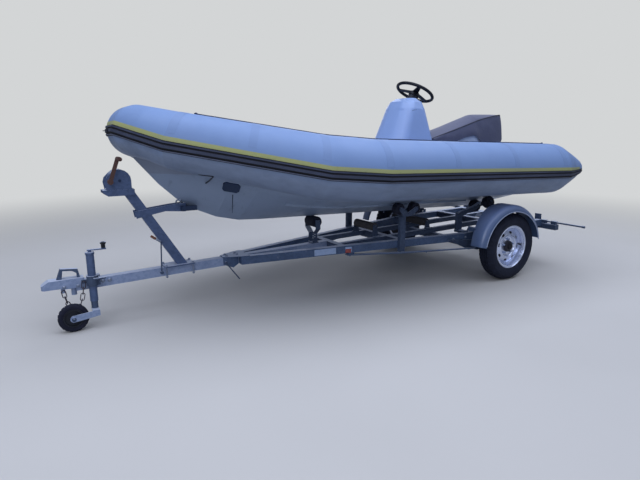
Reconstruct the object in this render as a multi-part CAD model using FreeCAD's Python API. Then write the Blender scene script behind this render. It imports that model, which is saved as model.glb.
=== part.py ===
"""A four metre rigid inflatable boat on its galvanised single-axle road trailer.

Millimetres. X runs aft, Y to starboard and Z up. The boat is drawn level and then
pitched bow up, and the trailer frame is drawn level and then pitched nose down, as
they stand when the trailer is parked on its road wheels and its jockey wheel.
"""
import FreeCAD, Part
import math
import os

V = FreeCAD.Vector
os.makedirs("parts", exist_ok=True)

# Attitude of the parked rig
boat_pitch = 1.55
frame_pitch = -1.575
seat_gap = 0.3
running_gap = 0.05

# Inflatable tube
tube_radius = 207.0
bow_tube_radius = 161.0
tube_offset = 710.0
tube_height = 915.0
stern_joint_x = 440.0
first_bend_x = -1430.0
second_bend_x = -1800.0
second_bend_offset = 640.0
bow_seam_x = -2660.0
bow_seam_offset = 345.0
bow_seam_height = 1085.0
nose_bend_x = -2748.0
nose_bend_offset = 227.0
nose_bend_height = 1118.0
bow_tip_x = -2813.0
bow_tip_offset = 82.0
bow_tip_height = 1138.0
cone_length = 438.0
cone_rise = 7.0

# Bonded trim on the tube, measured along its skin from its outermost line
stripe_top = 20.0
stripe_bottom = -5.0
stripe_thickness = 1.2
strake_top = -6.0
strake_bottom = -70.0
strake_depth = 11.0
band_lift = (0.0, 0.0, 0.0, 0.0, 20.0, 38.0)
band_taper = 0.35
rope_diameter = 10.0
rope_angle = 103.0
patch_length = 90.0
patch_thickness = 3.0
patch_sweep = 16.0

# Moulded hull
keel_height = 520.0
transom_x = 335.0
transom_rake = 14.0
chine_half = 500.0
chine_height = 682.0
stem_radius = 900.0
stem_slope = 48.5
stem_corner_x = -2443.0
hull_nose_x = -2838.0
taper_start_x = -1200.0
chine_rise = 312.0
entry_power = 2.3
sole_height = 800.0
sole_thickness = 12.0
sole_front_x = -1200.0
flange_height = 872.0
flange_rear_x = -2470.0
transom_board = 45.0
transom_clamp_height = 508.0
transom_clamp_width = 520.0
transom_shoulder = 70.0
clamp_pad_half = 135.0
clamp_pad_drop = 150.0
clamp_pad_thickness = 5.0
rail_offset = 305.0
rail_width = 34.0
rail_front_x = -1900.0
rail_rear_x = -120.0
side_plate_x = -2290.0
side_plate_height = 792.0
side_plate_length = 118.0
side_plate_width = 74.0
bow_eye_x = -2556.0

# Console
console_wall = 6.0
console_foot_front = -1030.0
console_foot_rear = -376.0
console_foot_half = 240.0
console_top_height = 1474.0
wheel_axis_tilt = 25.0
helm_x = -512.0
helm_height = 1508.0
steering_diameter = 340.0
steering_grip = 26.0
steering_hub = 92.0
steering_pin_radius = 11.0

# Seat and its tied cover
seat_front_x = -370.0
seat_rear_x = 310.0
cover_rear_x = 430.0
seat_half = 158.0
seat_low_height = 1140.0
seat_high_height = 1185.0
cover_skirt = 14.0
cover_ridge_height = 1388.0
cover_ridge_front_x = 205.0
cover_ridge_rear_x = 500.0
cover_ridge_half = 108.0
cover_hem_height = 1122.0

# Trailer frame
frame_height = 390.0
beam_width = 50.0
beam_height = 60.0
drawbar_width = 60.0
drawbar_front_x = -3240.0
front_member_x = -1360.0
junction_x = -2150.0
junction_offset = 60.0
junction_front_x = -2270.0
junction_rear_x = -2090.0
junction_plate = 6.0
parallel_x = -300.0
parallel_offset = 471.0
frame_rear_x = 735.0
rail_tube = 40.0
inner_rail_offset = 150.0
cross_member_x = (-860.0, 330.0)
rear_member_x = 690.0
latch_points = ((-2712.0, -44.0, 285.5), (-2702.0, -44.0, 497.0), (-2759.0, -44.0, 541.0))
pin_lever_end = (-2153.0, -44.0, 155.0)
latch_radius = 4.5
light_bar_half = 636.0
light_bar_top = 353.0
light_rod_start = 462.0
light_rod_reach = 900.0
light_rod_radius = 8.0

# Running gear
tyre_diameter = 562.0
wheel_plane = 700.0
hub_x = -15.0
rim_holes = 8
stub_radius = 15.0
stub_end = 740.0
axle_x = -190.0
axle_size = 50.0
axle_height = 272.0
axle_half = 545.0
arm_thickness = 24.0
mudguard_radius = 368.0
mudguard_width = 200.0
mudguard_inner = 610.0
mudguard_centre_x = -76.0
mudguard_centre_height = 273.0
mudguard_sheet = 3.0
mudguard_lip = 20.0
mudguard_shoulder = 27.0
mudguard_hem = 332.0
stay_height = 268.0

# Coupling, chain and jack
coupling_nose_x = -3430.0
coupling_half = 36.0
socket_radius = 25.25
socket_depth = 12.0
socket_x = -3392.0
link_length = 50.0
link_width = 28.0
link_wire = 5.0
link_play = 0.7
bend_play = 2.2
link_count = 9
chain_stud = 4.0
chain_start = (-3312.0, -36.0, 248.0)
chain_end = (-3194.0, -54.0, 296.0)
jack_x = -3145.0
jack_offset = -66.0
jack_tube_radius = 24.0
jack_tube_wall = 3.6
jack_tube_bottom = 172.0
jack_tube_top = 474.0
jack_leg_top = 420.0
jack_foot_height = 126.0
jockey_radius = 89.0
jockey_width = 44.0
jockey_plane = -90.0
jockey_trail = 129.0

# Winch post, winch and bow stop
post_foot_x = -2565.0
post_plate = 8.0
post_top_x = -2886.0
post_top_height = 858.0
post_size = 60.0
shelf_front_x = -3033.0
shelf_rear_x = -2844.0
winch_x = -2930.0
winch_axis_height = 920.0
winch_cheek_half = 52.0
drum_radius = 26.0
crank_x = -2990.0
crank_axis_height = 918.0
crank_throw = 150.0
crank_angle = 70.0

# Hull supports
keel_roller_x = -1495.0
keel_roller_radius = 44.0
keel_roller_length = 150.0
wide_roller_x = (-975.0, -390.0)
wide_roller_radius = 34.0
wide_roller_length = 256.0
wide_roller_height = 440.0
bilge_x = -890.0
bilge_offset = 408.0
bilge_spread = 80.0
bilge_post_top = 572.0
bilge_roller_radius = 45.0
bilge_roller_length = 58.0
cradle_x = 20.0
cradle_mid = 375.0
cradle_spread = 78.0
cradle_roller_radius = 50.0
cradle_roller_length = 62.0


def rad(angle):
    return math.radians(angle)


def save(name, *shapes):
    """Write the solids of one node, moved so that the origin is under the middle of the rig."""
    solids = [s for shape in shapes for s in shape.Solids]
    node = solids[0] if len(solids) == 1 else Part.makeCompound(solids)
    node = node.copy()
    node.translate(V(-middle_x, 0, 0))
    node.exportStep("parts/%s.step" % name)
    print("%-26s %2d solids  %9.0f cm3" % (name, len(solids), sum(s.Volume for s in solids) / 1000))


def largest(shape):
    return max(shape.Solids, key=lambda s: s.Volume)


def fused(*shapes):
    result = shapes[0]
    for shape in shapes[1:]:
        result = result.fuse(shape)
    return result.removeSplitter()


def mirrored(shape):
    return shape.mirror(V(0, 0, 0), V(0, 1, 0))


def pair(shape):
    """The same solid on both sides of the centre plane."""
    return Part.makeCompound([shape, mirrored(shape)])


def on_boat(shape):
    placed = shape.copy()
    placed.rotate(V(transom_x, 0, keel_height), V(0, 1, 0), boat_pitch)
    return placed


def on_frame(shape):
    placed = shape.copy()
    placed.rotate(V(0, 0, frame_height), V(0, 1, 0), frame_pitch)
    return placed


def box(x0, x1, y0, y1, z0, z1):
    return Part.makeBox(x1 - x0, y1 - y0, z1 - z0, V(x0, y0, z0))


def rod(start, end, radius):
    a, b = V(*start), V(*end)
    return Part.makeCylinder(radius, (b - a).Length, a, b - a)


def polygon(points):
    return Part.Face(Part.makePolygon([V(*p) for p in points] + [V(*points[0])]))


def side_profile(points, y0, y1):
    """A closed outline in X and Z, drawn out from y0 to y1."""
    return polygon([(x, y0, z) for x, z in points]).extrude(V(0, y1 - y0, 0))


def front_profile(points, x0, x1):
    """A closed outline in Y and Z, drawn out from x0 to x1."""
    return polygon([(x0, y, z) for y, z in points]).extrude(V(x1 - x0, 0, 0))


def plan_profile(points, z0, z1):
    """A closed outline in X and Y, drawn out from z0 to z1."""
    return polygon([(x, y, z0) for x, y in points]).extrude(V(0, 0, z1 - z0))


def lathe(points, centre):
    """A closed outline of radius and Y, turned about the Y axis through the centre."""
    x, y, z = centre
    face = polygon([(x + r, y + h, z) for r, h in points])
    return face.revolve(V(x, y, z), V(0, 1, 0), 360)


# The tube's joints from the port stern to the bow. Columns: x, offset to port, height, radius
port_joints = [
    (stern_joint_x, tube_offset, tube_height, tube_radius),
    (first_bend_x, tube_offset, tube_height, tube_radius),
    (second_bend_x, second_bend_offset, tube_height + 20, tube_radius),
    (bow_seam_x, bow_seam_offset, bow_seam_height, bow_tube_radius + 12),
    (nose_bend_x, nose_bend_offset, nose_bend_height, bow_tube_radius),
    (bow_tip_x, bow_tip_offset, bow_tip_height, bow_tube_radius),
]

# The stern cone's rings. Columns: share of its length, share of the tube's radius
cone_rings = [(0.0, 1.0), (0.06, 0.97), (0.20, 0.865), (0.40, 0.715), (0.60, 0.56), (0.80, 0.39), (0.91, 0.27), (0.97, 0.16),
              (1.0, 0.06)]
stern_tip_x = stern_joint_x + cone_length

centres = [V(x, -y, z) for x, y, z, r in port_joints]
centres += [V(c.x, -c.y, c.z) for c in reversed(centres)]
radii = [j[3] for j in port_joints]
radii += list(reversed(radii))
runs = [(centres[i + 1] - centres[i]).normalize() for i in range(len(centres) - 1)]


def joint_point(index, angle, radius):
    """A point at a joint of the tube: angle 0 is outermost, 90 is on top, on the mitre plane."""
    before = runs[max(index - 1, 0)]
    after = runs[min(index, len(runs) - 1)]
    outward = before.cross(V(0, 0, 1)).normalize() * -1
    upward = before.cross(outward).normalize()
    if upward.z < 0:
        upward = upward * -1
    spoke = outward * math.cos(rad(angle)) + upward * math.sin(rad(angle))
    plane = before + after
    spoke = spoke - before * (spoke.dot(plane) / before.dot(plane))
    return centres[index] + spoke * radius


def cone_point(side, step, angle, radius_extra):
    """A point on a stern cone's ring, on the port side for -1 and the starboard side for 1."""
    along, share = cone_rings[step]
    radius = tube_radius * share + radius_extra
    return V(stern_joint_x + cone_length * along,
             side * (tube_offset + radius * math.cos(rad(angle))),
             tube_height + cone_rise * along ** 1.6 + radius * math.sin(rad(angle)))


def joint_ring(index, radius):
    """The closed mitre outline of the tube at one joint."""
    count = 4
    points = [joint_point(index, a * 360.0 / (2 * count), radius) for a in range(2 * count)]
    arcs = []
    centre = centres[index]
    before = runs[max(index - 1, 0)]
    after = runs[min(index, len(runs) - 1)]
    if before.cross(after).Length < 1e-6:
        ring = Part.Circle(centre, before, radius)
    else:
        minor = before.cross(after).normalize()
        bisector = (before + after).normalize()
        major = minor.cross(bisector).normalize()
        if major.dot(points[0] - centre) < 0:
            major = major * -1
            minor = minor * -1
        stretch = 1 / bisector.dot(before)
        ring = Part.Ellipse(centre + major * radius * stretch, centre + minor * radius, centre)
    start = ring.parameter(points[0])
    turn = ring.value(start + 0.3)
    step = 2 * math.pi / count
    direction = 1 if (turn - centre).dot(points[2] - centre) > 0 else -1
    corners = [ring.value(start + direction * step * i) for i in range(count)]
    middles = [ring.value(start + direction * step * (i + 0.5)) for i in range(count)]
    for i in range(count):
        p0 = ring.parameter(corners[i])
        p1 = ring.parameter(corners[(i + 1) % count])
        if direction < 0:
            p0, p1 = p1, p0
        if p1 <= p0:
            p1 += 2 * math.pi
        arcs.append(ring.toShape(p0, p1))
    return Part.Wire(Part.__sortEdges__(arcs))


def tube_body(extra):
    """The mitred buoyancy tube between its stern joints, thicker than drawn by extra."""
    rings = [joint_ring(i, radii[i] + extra) for i in range(len(centres))]
    return Part.makeLoft(rings, True, True)


def stern_cone(side, extra=0.0):
    rings = []
    for step, (along, share) in enumerate(cone_rings):
        centre = V(stern_joint_x + cone_length * along, side * tube_offset,
                   tube_height + cone_rise * along ** 1.6)
        circle = Part.Circle(centre, V(1, 0, 0), tube_radius * share + extra)
        rings.append(Part.Wire(circle.toShape()))
    return Part.makeLoft(rings, True, True)


def skin_angle(distance, radius):
    return math.degrees(distance / radius)


def band(section, last_step):
    """A bonded band round the whole tube and some rings of the stern cones.

    The section's columns: distance up the skin, standing height.
    """
    outlines = []
    for step in range(last_step, 0, -1):
        share = cone_rings[step][1]
        narrow = band_taper + (1 - band_taper) * share
        outlines.append([cone_point(-1, step, skin_angle(s * narrow, tube_radius * share), h) for s, h in section])
    lifts = band_lift + tuple(reversed(band_lift))
    for i in range(len(centres)):
        outlines.append([joint_point(i, skin_angle(s + lifts[i], radii[i]), radii[i] + h) for s, h in section])
    for step in range(1, last_step + 1):
        share = cone_rings[step][1]
        narrow = band_taper + (1 - band_taper) * share
        outlines.append([cone_point(1, step, skin_angle(s * narrow, tube_radius * share), h) for s, h in section])
    wires = [Part.makePolygon(points + [points[0]]) for points in outlines]
    return Part.makeLoft(wires, True, True)


def strake_section():
    """The ribbed rubbing strake: three ribs with two grooves between them."""
    low, high, deep = strake_bottom, strake_top, strake_depth
    width = high - low
    rib_edges = [(0.00, 0.30), (0.04, 0.72), (0.19, 0.76), (0.24, 0.45), (0.30, 0.45), (0.35, 1.0),
                 (0.65, 1.0), (0.70, 0.45), (0.76, 0.45), (0.81, 0.76), (0.96, 0.72), (1.00, 0.30)]
    outer = [(low + width * share, deep * height) for share, height in rib_edges]
    inner = [(low + width * share, seat_gap) for share in (1.0, 0.75, 0.5, 0.25, 0.0)]
    return outer + inner


def stripe_section():
    middle = (stripe_bottom + stripe_top) / 2
    outer = [(s, stripe_thickness) for s in (stripe_bottom, middle, stripe_top)]
    inner = [(s, seat_gap) for s in (stripe_top, middle, stripe_bottom)]
    return outer + inner


# Attachments of the lifeline along one side. Columns: tube run, share along the run
rope_patches = [(0, 0.03), (0, 0.50), (0, 0.97), (1, 0.50), (2, 0.05), (2, 0.48), (2, 0.93)]


def lifeline(side):
    """A rope round one side of the tube, on top and towards the inside."""
    lift = patch_thickness + 2 * seat_gap + rope_diameter / 2
    first, last = rope_patches[0], rope_patches[-1]
    points = []
    for run, share in (first, (1, 0.0), (2, 0.0), last):
        a = joint_point(run, rope_angle, radii[run] + lift)
        b = joint_point(run + 1, rope_angle, radii[run + 1] + lift)
        points.append(a + (b - a) * share)
    wire = Part.makePolygon(points)
    circle = Part.Wire(Part.Circle(points[0], points[1] - points[0], rope_diameter / 2).toShape())
    rope = wire.makePipeShell([circle], True, False, 1)
    return rope if side < 0 else mirrored(rope)


def patches(side):
    """The bonded patches under the lifeline."""
    solids = []
    for run, share in rope_patches:
        length = (centres[run + 1] - centres[run]).Length
        outlines = []
        for end in (-0.5, 0.5):
            t = share + end * patch_length / length
            outline = []
            for height in (patch_thickness + seat_gap, seat_gap):
                steps = (-1, -0.5, 0, 0.5, 1)
                for k in steps if height > 1 else reversed(steps):
                    angle = rope_angle + k * patch_sweep / 2
                    a = joint_point(run, angle, radii[run] + height)
                    b = joint_point(run + 1, angle, radii[run + 1] + height)
                    outline.append(a + (b - a) * t)
            outlines.append(Part.makePolygon(outline + [outline[0]]))
        solids.append(Part.makeLoft(outlines, True, True))
    shape = Part.makeCompound(solids)
    return shape if side < 0 else mirrored(shape)


def keel_at(x):
    """Height of the keel line and the stem: level, then an arc, then a straight raked stem."""
    half_turn = rad(stem_slope / 2)
    tangent = stem_radius * math.tan(half_turn)
    arc_start = stem_corner_x + tangent
    arc_end = stem_corner_x - tangent * math.cos(rad(stem_slope))
    if x >= arc_start:
        return keel_height
    if x >= arc_end:
        return keel_height + stem_radius - math.sqrt(stem_radius ** 2 - (arc_start - x) ** 2)
    return keel_height + math.tan(rad(stem_slope)) * (stem_corner_x - x)


def tube_centre_at(x):
    """Offset, height and radius of the port tube where it crosses x."""
    for (xa, ya, za, ra), (xb, yb, zb, rb) in zip(port_joints, port_joints[1:]):
        if xb <= x <= xa:
            t = (xa - x) / (xa - xb)
            return ya + (yb - ya) * t, za + (zb - za) * t, ra + (rb - ra) * t
    return port_joints[-1][1] if x < bow_tip_x else tube_offset, port_joints[-1][2], bow_tube_radius


def hull_body():
    """The moulded V hull as one closed form, its upper edge wrapped up under the tube."""
    sections = []
    stations = (460.0, taper_start_x, -1500.0, -1750.0, -1950.0, -2130.0, -2300.0, -2450.0,
                -2580.0, -2690.0, -2775.0, hull_nose_x)
    for x in stations:
        u = max(0.0, (taper_start_x - x) / (taper_start_x - hull_nose_x))
        narrowing = 1 - u ** entry_power
        chine = max(10.0, chine_half * narrowing)
        chine_z = chine_height + chine_rise * u ** entry_power
        y, z, r = tube_centre_at(min(x, stern_joint_x))
        side = max(chine + 25.0, y - 0.30 * r)
        side_z = sole_height + (z - tube_height)
        outline = [V(x, 0, keel_at(x)), V(x, -chine, chine_z), V(x, -side, side_z),
                   V(x, side, side_z), V(x, chine, chine_z)]
        sections.append(Part.makePolygon(outline + [outline[0]]))
    form = Part.makeLoft(sections, True, True)
    rake = math.tan(rad(transom_rake))
    low, high = keel_height - 50, sole_height + 200
    aft = side_profile([(transom_x + rake * (low - chine_height), low), (900, low), (900, high),
                        (transom_x + rake * (high - chine_height), high)], -900, 900)
    return form.cut(aft)


def transom_face_x(height):
    """Where the raked aft face of the transom stands at a height."""
    return transom_x + math.tan(rad(transom_rake)) * (height - chine_height)


def transom_body():
    """The transom board above the sole, with a lowered clamp pad for an outboard in its middle."""
    clamp_z = keel_height + transom_clamp_height
    top = clamp_z + transom_shoulder
    half = transom_clamp_width / 2
    base = sole_height + sole_thickness
    outline = [(-640, base), (640, base), (640, top), (half + transom_shoulder, top), (half, clamp_z),
               (-half, clamp_z), (-half - transom_shoulder, top), (-640, top)]
    slab = front_profile(outline, transom_x - 400, transom_x + 400)
    keep = side_profile([(transom_face_x(base - 1) - transom_board, base - 1), (transom_face_x(base - 1), base - 1),
                         (transom_face_x(top + 1), top + 1),
                         (transom_face_x(top + 1) - transom_board, top + 1)], -700, 700)
    low, high = clamp_z - clamp_pad_drop, clamp_z - 8
    pad = side_profile([(transom_face_x(low), low), (transom_face_x(low) + clamp_pad_thickness, low),
                        (transom_face_x(high) + clamp_pad_thickness, high), (transom_face_x(high), high)],
                       -clamp_pad_half, clamp_pad_half)
    return slab.common(keep).fuse(pad)


def rounded_outline(x0, x1, half, front_radius, rear_radius, z):
    """A closed plan outline, rounder at its front than at its rear."""
    def corner(cx, cy, radius, start):
        arc = Part.Arc(Part.Circle(V(cx, cy, z), V(0, 0, 1), radius), rad(start), rad(start + 90))
        return arc.toShape()
    f, r = front_radius, rear_radius
    edges = [Part.makeLine(V(x1, -half + r, z), V(x1, half - r, z)), corner(x1 - r, half - r, r, 0),
             Part.makeLine(V(x1 - r, half, z), V(x0 + f, half, z)), corner(x0 + f, half - f, f, 90),
             Part.makeLine(V(x0, half - f, z), V(x0, -half + f, z)), corner(x0 + f, -half + f, f, 180),
             Part.makeLine(V(x0 + f, -half, z), V(x1 - r, -half, z)), corner(x1 - r, -half + r, r, 270)]
    return Part.Wire(edges)


def console_form(inset, lift):
    """The console's outer form, or its inner form for an inset of one wall."""
    foot = sole_height + sole_thickness
    span = console_top_height - foot
    # Columns: share of the height, front moved aft, rear moved forward, half width lost, front radius, rear radius
    levels = [(0.0, 0, 0, 0, 165, 45), (0.51, 135, 64, 35, 150, 45), (0.865, 230, 136, 65, 120, 45),
              (0.955, 272, 154, 90, 100, 42), (1.0, 330, 189, 125, 70, 36)]
    rings = []
    for share, front, rear, lost, front_radius, rear_radius in levels:
        z = foot + span * share - (inset if share == 1.0 else 0) - (lift if share == 0 else 0)
        rings.append(rounded_outline(console_foot_front + front + inset, console_foot_rear - rear - inset,
                                     console_foot_half - lost - inset, front_radius - inset,
                                     rear_radius - inset, z))
    return Part.makeLoft(rings, True, True)


def steering_frame(shape):
    """Lay a piece drawn about a vertical axis through the origin onto the helm's tilted axis."""
    placed = shape.copy()
    placed.rotate(V(0, 0, 0), V(0, 1, 0), wheel_axis_tilt)
    placed.translate(V(helm_x, 0, helm_height))
    return placed


def helm_boss():
    """The helm's conical boss on the console, bored for the steering wheel's shaft."""
    cone = Part.makeCone(58, 40, 66, V(0, 0, -70))
    bore = Part.makeCylinder(steering_pin_radius + running_gap, 42, V(0, 0, -44))
    return steering_frame(cone.cut(bore))


def steering_wheel():
    """Rim, hub with its shaft and three flat spokes, in one piece."""
    rim_radius = (steering_diameter - steering_grip) / 2
    rim = Part.makeTorus(rim_radius, steering_grip / 2, V(0, 0, 30))
    hub = Part.makeCone(steering_hub / 2, steering_hub / 2 - 6, 30, V(0, 0, -4 + seat_gap))
    shaft = Part.makeCylinder(steering_pin_radius, 40, V(0, 0, -40))
    shape = rim.fuse(hub).fuse(shaft)
    for angle in (0, 120, 240):
        spoke = polygon([(20, -26, 0), (rim_radius, -15, 0), (rim_radius, 15, 0), (20, 26, 0)])
        spoke = spoke.extrude(V(0, 0, 8))
        spoke.translate(V(0, 0, 20))
        spoke.rotate(V(0, 0, 0), V(0, 0, 1), angle)
        shape = shape.fuse(spoke)
    return steering_frame(shape)


def seat_outline(grow=0.0):
    foot = sole_height + sole_thickness
    return [(seat_front_x - grow, foot), (seat_front_x - grow, seat_low_height + grow),
            (seat_front_x + 220, seat_high_height + grow), (seat_rear_x + grow, seat_high_height + grow),
            (seat_rear_x + grow, foot)]


def seat_base():
    solid = side_profile(seat_outline(), -seat_half, seat_half)
    upright = [e for e in solid.Edges if abs(e.Vertexes[0].X - e.Vertexes[1].X) < 1
               and abs(e.Vertexes[0].Y - e.Vertexes[1].Y) < 1]
    return solid.makeFillet(28, upright)


def seat_cover():
    """The tied cover over seat and backrest, with the arch that its near hem is pulled up into."""
    half = seat_half + cover_skirt + seat_gap
    front, hem, ridge = seat_front_x, cover_hem_height, cover_ridge_height
    outline = [(front - 30, hem), (front - 22, 1212), (cover_ridge_front_x - 230, 1288),
               (cover_ridge_front_x, ridge), (cover_ridge_rear_x, ridge), (cover_rear_x + 10, hem)]
    solid = side_profile(outline, -half, half)
    taper = [(-half, hem), (half, hem), (half - 12, 1190), (cover_ridge_half + 12, ridge - 30),
             (cover_ridge_half, ridge), (-cover_ridge_half, ridge), (-cover_ridge_half - 12, ridge - 30),
             (-half + 12, 1190)]
    solid = solid.common(front_profile(taper, front - 100, cover_ridge_rear_x + 100))
    solid = solid.cut(side_profile(seat_outline(seat_gap), -seat_half - seat_gap, seat_half + seat_gap))
    arch = side_profile([(front + 262, hem - 5), (front + 300, 1150), (front + 440, 1184), (front + 505, 1184),
                         (front + 560, hem - 5)], -half - 5, half + 5)
    return largest(solid.cut(arch))


def build_boat():
    tube = tube_body(0)
    clear_tube = tube_body(seat_gap)
    hull = hull_body().cut(clear_tube)
    cones = [stern_cone(-1), stern_cone(1)]
    split = box(hull_nose_x - 100, flange_rear_x, -700, 700, flange_height, 1400)
    flange = hull.common(split.copy())
    lower = hull.cut(box(hull_nose_x - 100, flange_rear_x + seat_gap, -700, 700, flange_height - seat_gap, 1400))
    save("hull", on_boat(lower))
    save("bow_flange", on_boat(flange))
    save("buoyancy_tube", on_boat(tube))
    save("stern_cones", *[on_boat(c) for c in cones])
    clear_cones = [stern_cone(-1, seat_gap), stern_cone(1, seat_gap)]
    strake = band(strake_section(), 5).cut(clear_tube).cut(Part.makeCompound(clear_cones))
    save("rubbing_strake", on_boat(largest(strake)))
    save("accent_stripe", on_boat(band(stripe_section(), 4)))
    save("lifelines", on_boat(lifeline(-1)), on_boat(lifeline(1)))
    save("rope_patches", on_boat(patches(-1)), on_boat(patches(1)))

    sole = box(sole_front_x, transom_face_x(sole_height) + 60, -600, 600, sole_height + seat_gap,
               sole_height + sole_thickness)
    board = transom_body()
    aft = side_profile([(transom_face_x(700) - transom_board, 700), (900, 700), (900, 1000),
                        (transom_face_x(1000) - transom_board, 1000)], -900, 900)
    sole = sole.cut(clear_tube).cut(aft)
    save("cockpit_sole", on_boat(sole))
    knee = transom_body_foot()
    save("transom", on_boat(fused(board, knee).cut(clear_tube).cut(Part.makeCompound(clear_cones))))

    rail = spray_rail(lower)
    save("spray_rails", on_boat(rail), on_boat(mirrored(rail)))
    plate = hull_plate(lower)
    save("hull_side_plates", on_boat(plate), on_boat(mirrored(plate)))
    save("bow_eye", on_boat(bow_eye(lower)))

    shell = console_form(0, 0)
    save("console", on_boat(shell.cut(console_form(console_wall, 1.0))))
    save("helm_boss", on_boat(helm_boss().cut(shell)))
    save("steering_wheel", on_boat(steering_wheel()))
    save("seat_base", on_boat(seat_base()))
    save("seat_cover", on_boat(seat_cover()))
    return on_boat(lower)


def transom_body_foot():
    """The part of the transom board that stands on the hull, through the sole."""
    base, top = sole_height + seat_gap, sole_height + sole_thickness + 5
    points = [(transom_face_x(base) - transom_board, base), (transom_face_x(base), base),
              (transom_face_x(top), top), (transom_face_x(top) - transom_board, top)]
    return side_profile(points, -640, 640)


def fitted(blank, hull, slip):
    """A blank sunk in the hull, cut back to the hull's skin with a small gap along slip."""
    shifted = hull.copy()
    shifted.translate(slip)
    trimmed = blank.cut(shifted).cut(hull)
    return largest(trimmed)


def bottom_height(x, y):
    """Height of the bottom panel between keel and chine at an offset."""
    u = max(0.0, (taper_start_x - x) / (taper_start_x - hull_nose_x))
    chine = chine_half * (1 - u ** entry_power)
    chine_z = chine_height + chine_rise * u ** entry_power
    return keel_at(x) + (chine_z - keel_at(x)) * y / chine


def spray_rail(hull):
    """A spray rail on the port bottom panel: a long wedge with a level lower face."""
    wires = []
    for x in (rail_rear_x, taper_start_x, -1500.0, -1750.0, rail_front_x):
        inner, outer = rail_offset - rail_width / 2, rail_offset + rail_width / 2
        low = bottom_height(x, inner) - 1.5
        points = [V(x, -inner, low), V(x, -outer, low), V(x, -outer, bottom_height(x, outer) + 9),
                  V(x, -inner, bottom_height(x, inner) + 9)]
        wires.append(Part.makePolygon(points + [points[0]]))
    return fitted(Part.makeLoft(wires, True, True), hull, V(0, 0, -seat_gap))


def side_point(hull, x, z):
    """The port side skin's point at x and z."""
    hit = Part.makeLine(V(x, -900, z), V(x, 0, z)).common(hull)
    return min((v.Point for v in hit.Vertexes), key=lambda p: p.y)


def side_normal(hull, x, z):
    """The outward direction of the port side skin near x and z."""
    a, b, c = side_point(hull, x, z), side_point(hull, x + 30, z), side_point(hull, x, z + 12)
    out = (b - a).cross(c - a).normalize()
    return out if out.y < 0 else out * -1


def hull_plate(hull):
    """A rounded plate on the port side of the bow, flat outside and fitted to the skin inside."""
    at = side_point(hull, side_plate_x, side_plate_height)
    out = side_normal(hull, side_plate_x, side_plate_height)
    along = V(1, 0, 0) - out * out.x
    along.normalize()
    up = out.cross(along)
    a, b, c = side_plate_length / 2, side_plate_width / 2, 16.0
    corners = [(a, -b + c), (a, b - c), (a - c, b), (-a + c, b), (-a, b - c), (-a, -b + c), (-a + c, -b), (a - c, -b)]
    points = [at + along * p + up * q - out * 12 for p, q in corners]
    blank = Part.Face(Part.makePolygon(points + [points[0]])).extrude(out * 17)
    return fitted(blank, hull, out * seat_gap)


def bow_eye(hull):
    """The eye bolt low on the stem, with its backing pad."""
    x = bow_eye_x
    slope = (keel_at(x - 5) - keel_at(x + 5)) / 10
    length = math.hypot(1, slope)
    out = V(-slope / length, 0, -1 / length)
    at = V(x, 0, keel_at(x))
    ring = Part.makeTorus(16, 5, at + out * 12, V(0, 1, 0))
    pad = Part.makeCylinder(14, 16, at - out * 12, out)
    return fitted(ring.fuse(pad).removeSplitter(), hull, out * seat_gap)


# Side beams in plan, in the level frame drawing
beam_slope = (parallel_offset - junction_offset) / (parallel_x - junction_x)


def beam_centre(x):
    """Offset of the port beam's centre line from the centre plane at x."""
    return min(parallel_offset, junction_offset + beam_slope * (x - junction_x))


def beam_edge(x, outward):
    """Offset of the beam's outer or inner face at x, for outward 1 or -1."""
    slanted = junction_offset + beam_slope * (x - junction_x)
    slanted += outward * beam_width / 2 * math.sqrt(1 + beam_slope ** 2)
    return min(parallel_offset + outward * beam_width / 2, slanted)


def beam_bend(outward):
    """Where the beam's outer or inner face turns parallel to the centre plane."""
    half = outward * beam_width / 2
    return junction_x + (parallel_offset + half - junction_offset
                         - half * math.sqrt(1 + beam_slope ** 2)) / beam_slope


def side_beam():
    """The port side beam, mitred where it turns parallel to the centre plane."""
    low, high = frame_height - beam_height, frame_height
    points = [(junction_x, -beam_edge(junction_x, -1)), (beam_bend(-1), -beam_edge(0, -1)),
              (frame_rear_x, -beam_edge(0, -1)), (frame_rear_x, -beam_edge(0, 1)),
              (beam_bend(1), -beam_edge(0, 1)), (junction_x, -beam_edge(junction_x, 1))]
    return plan_profile(points, low, high)


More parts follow.
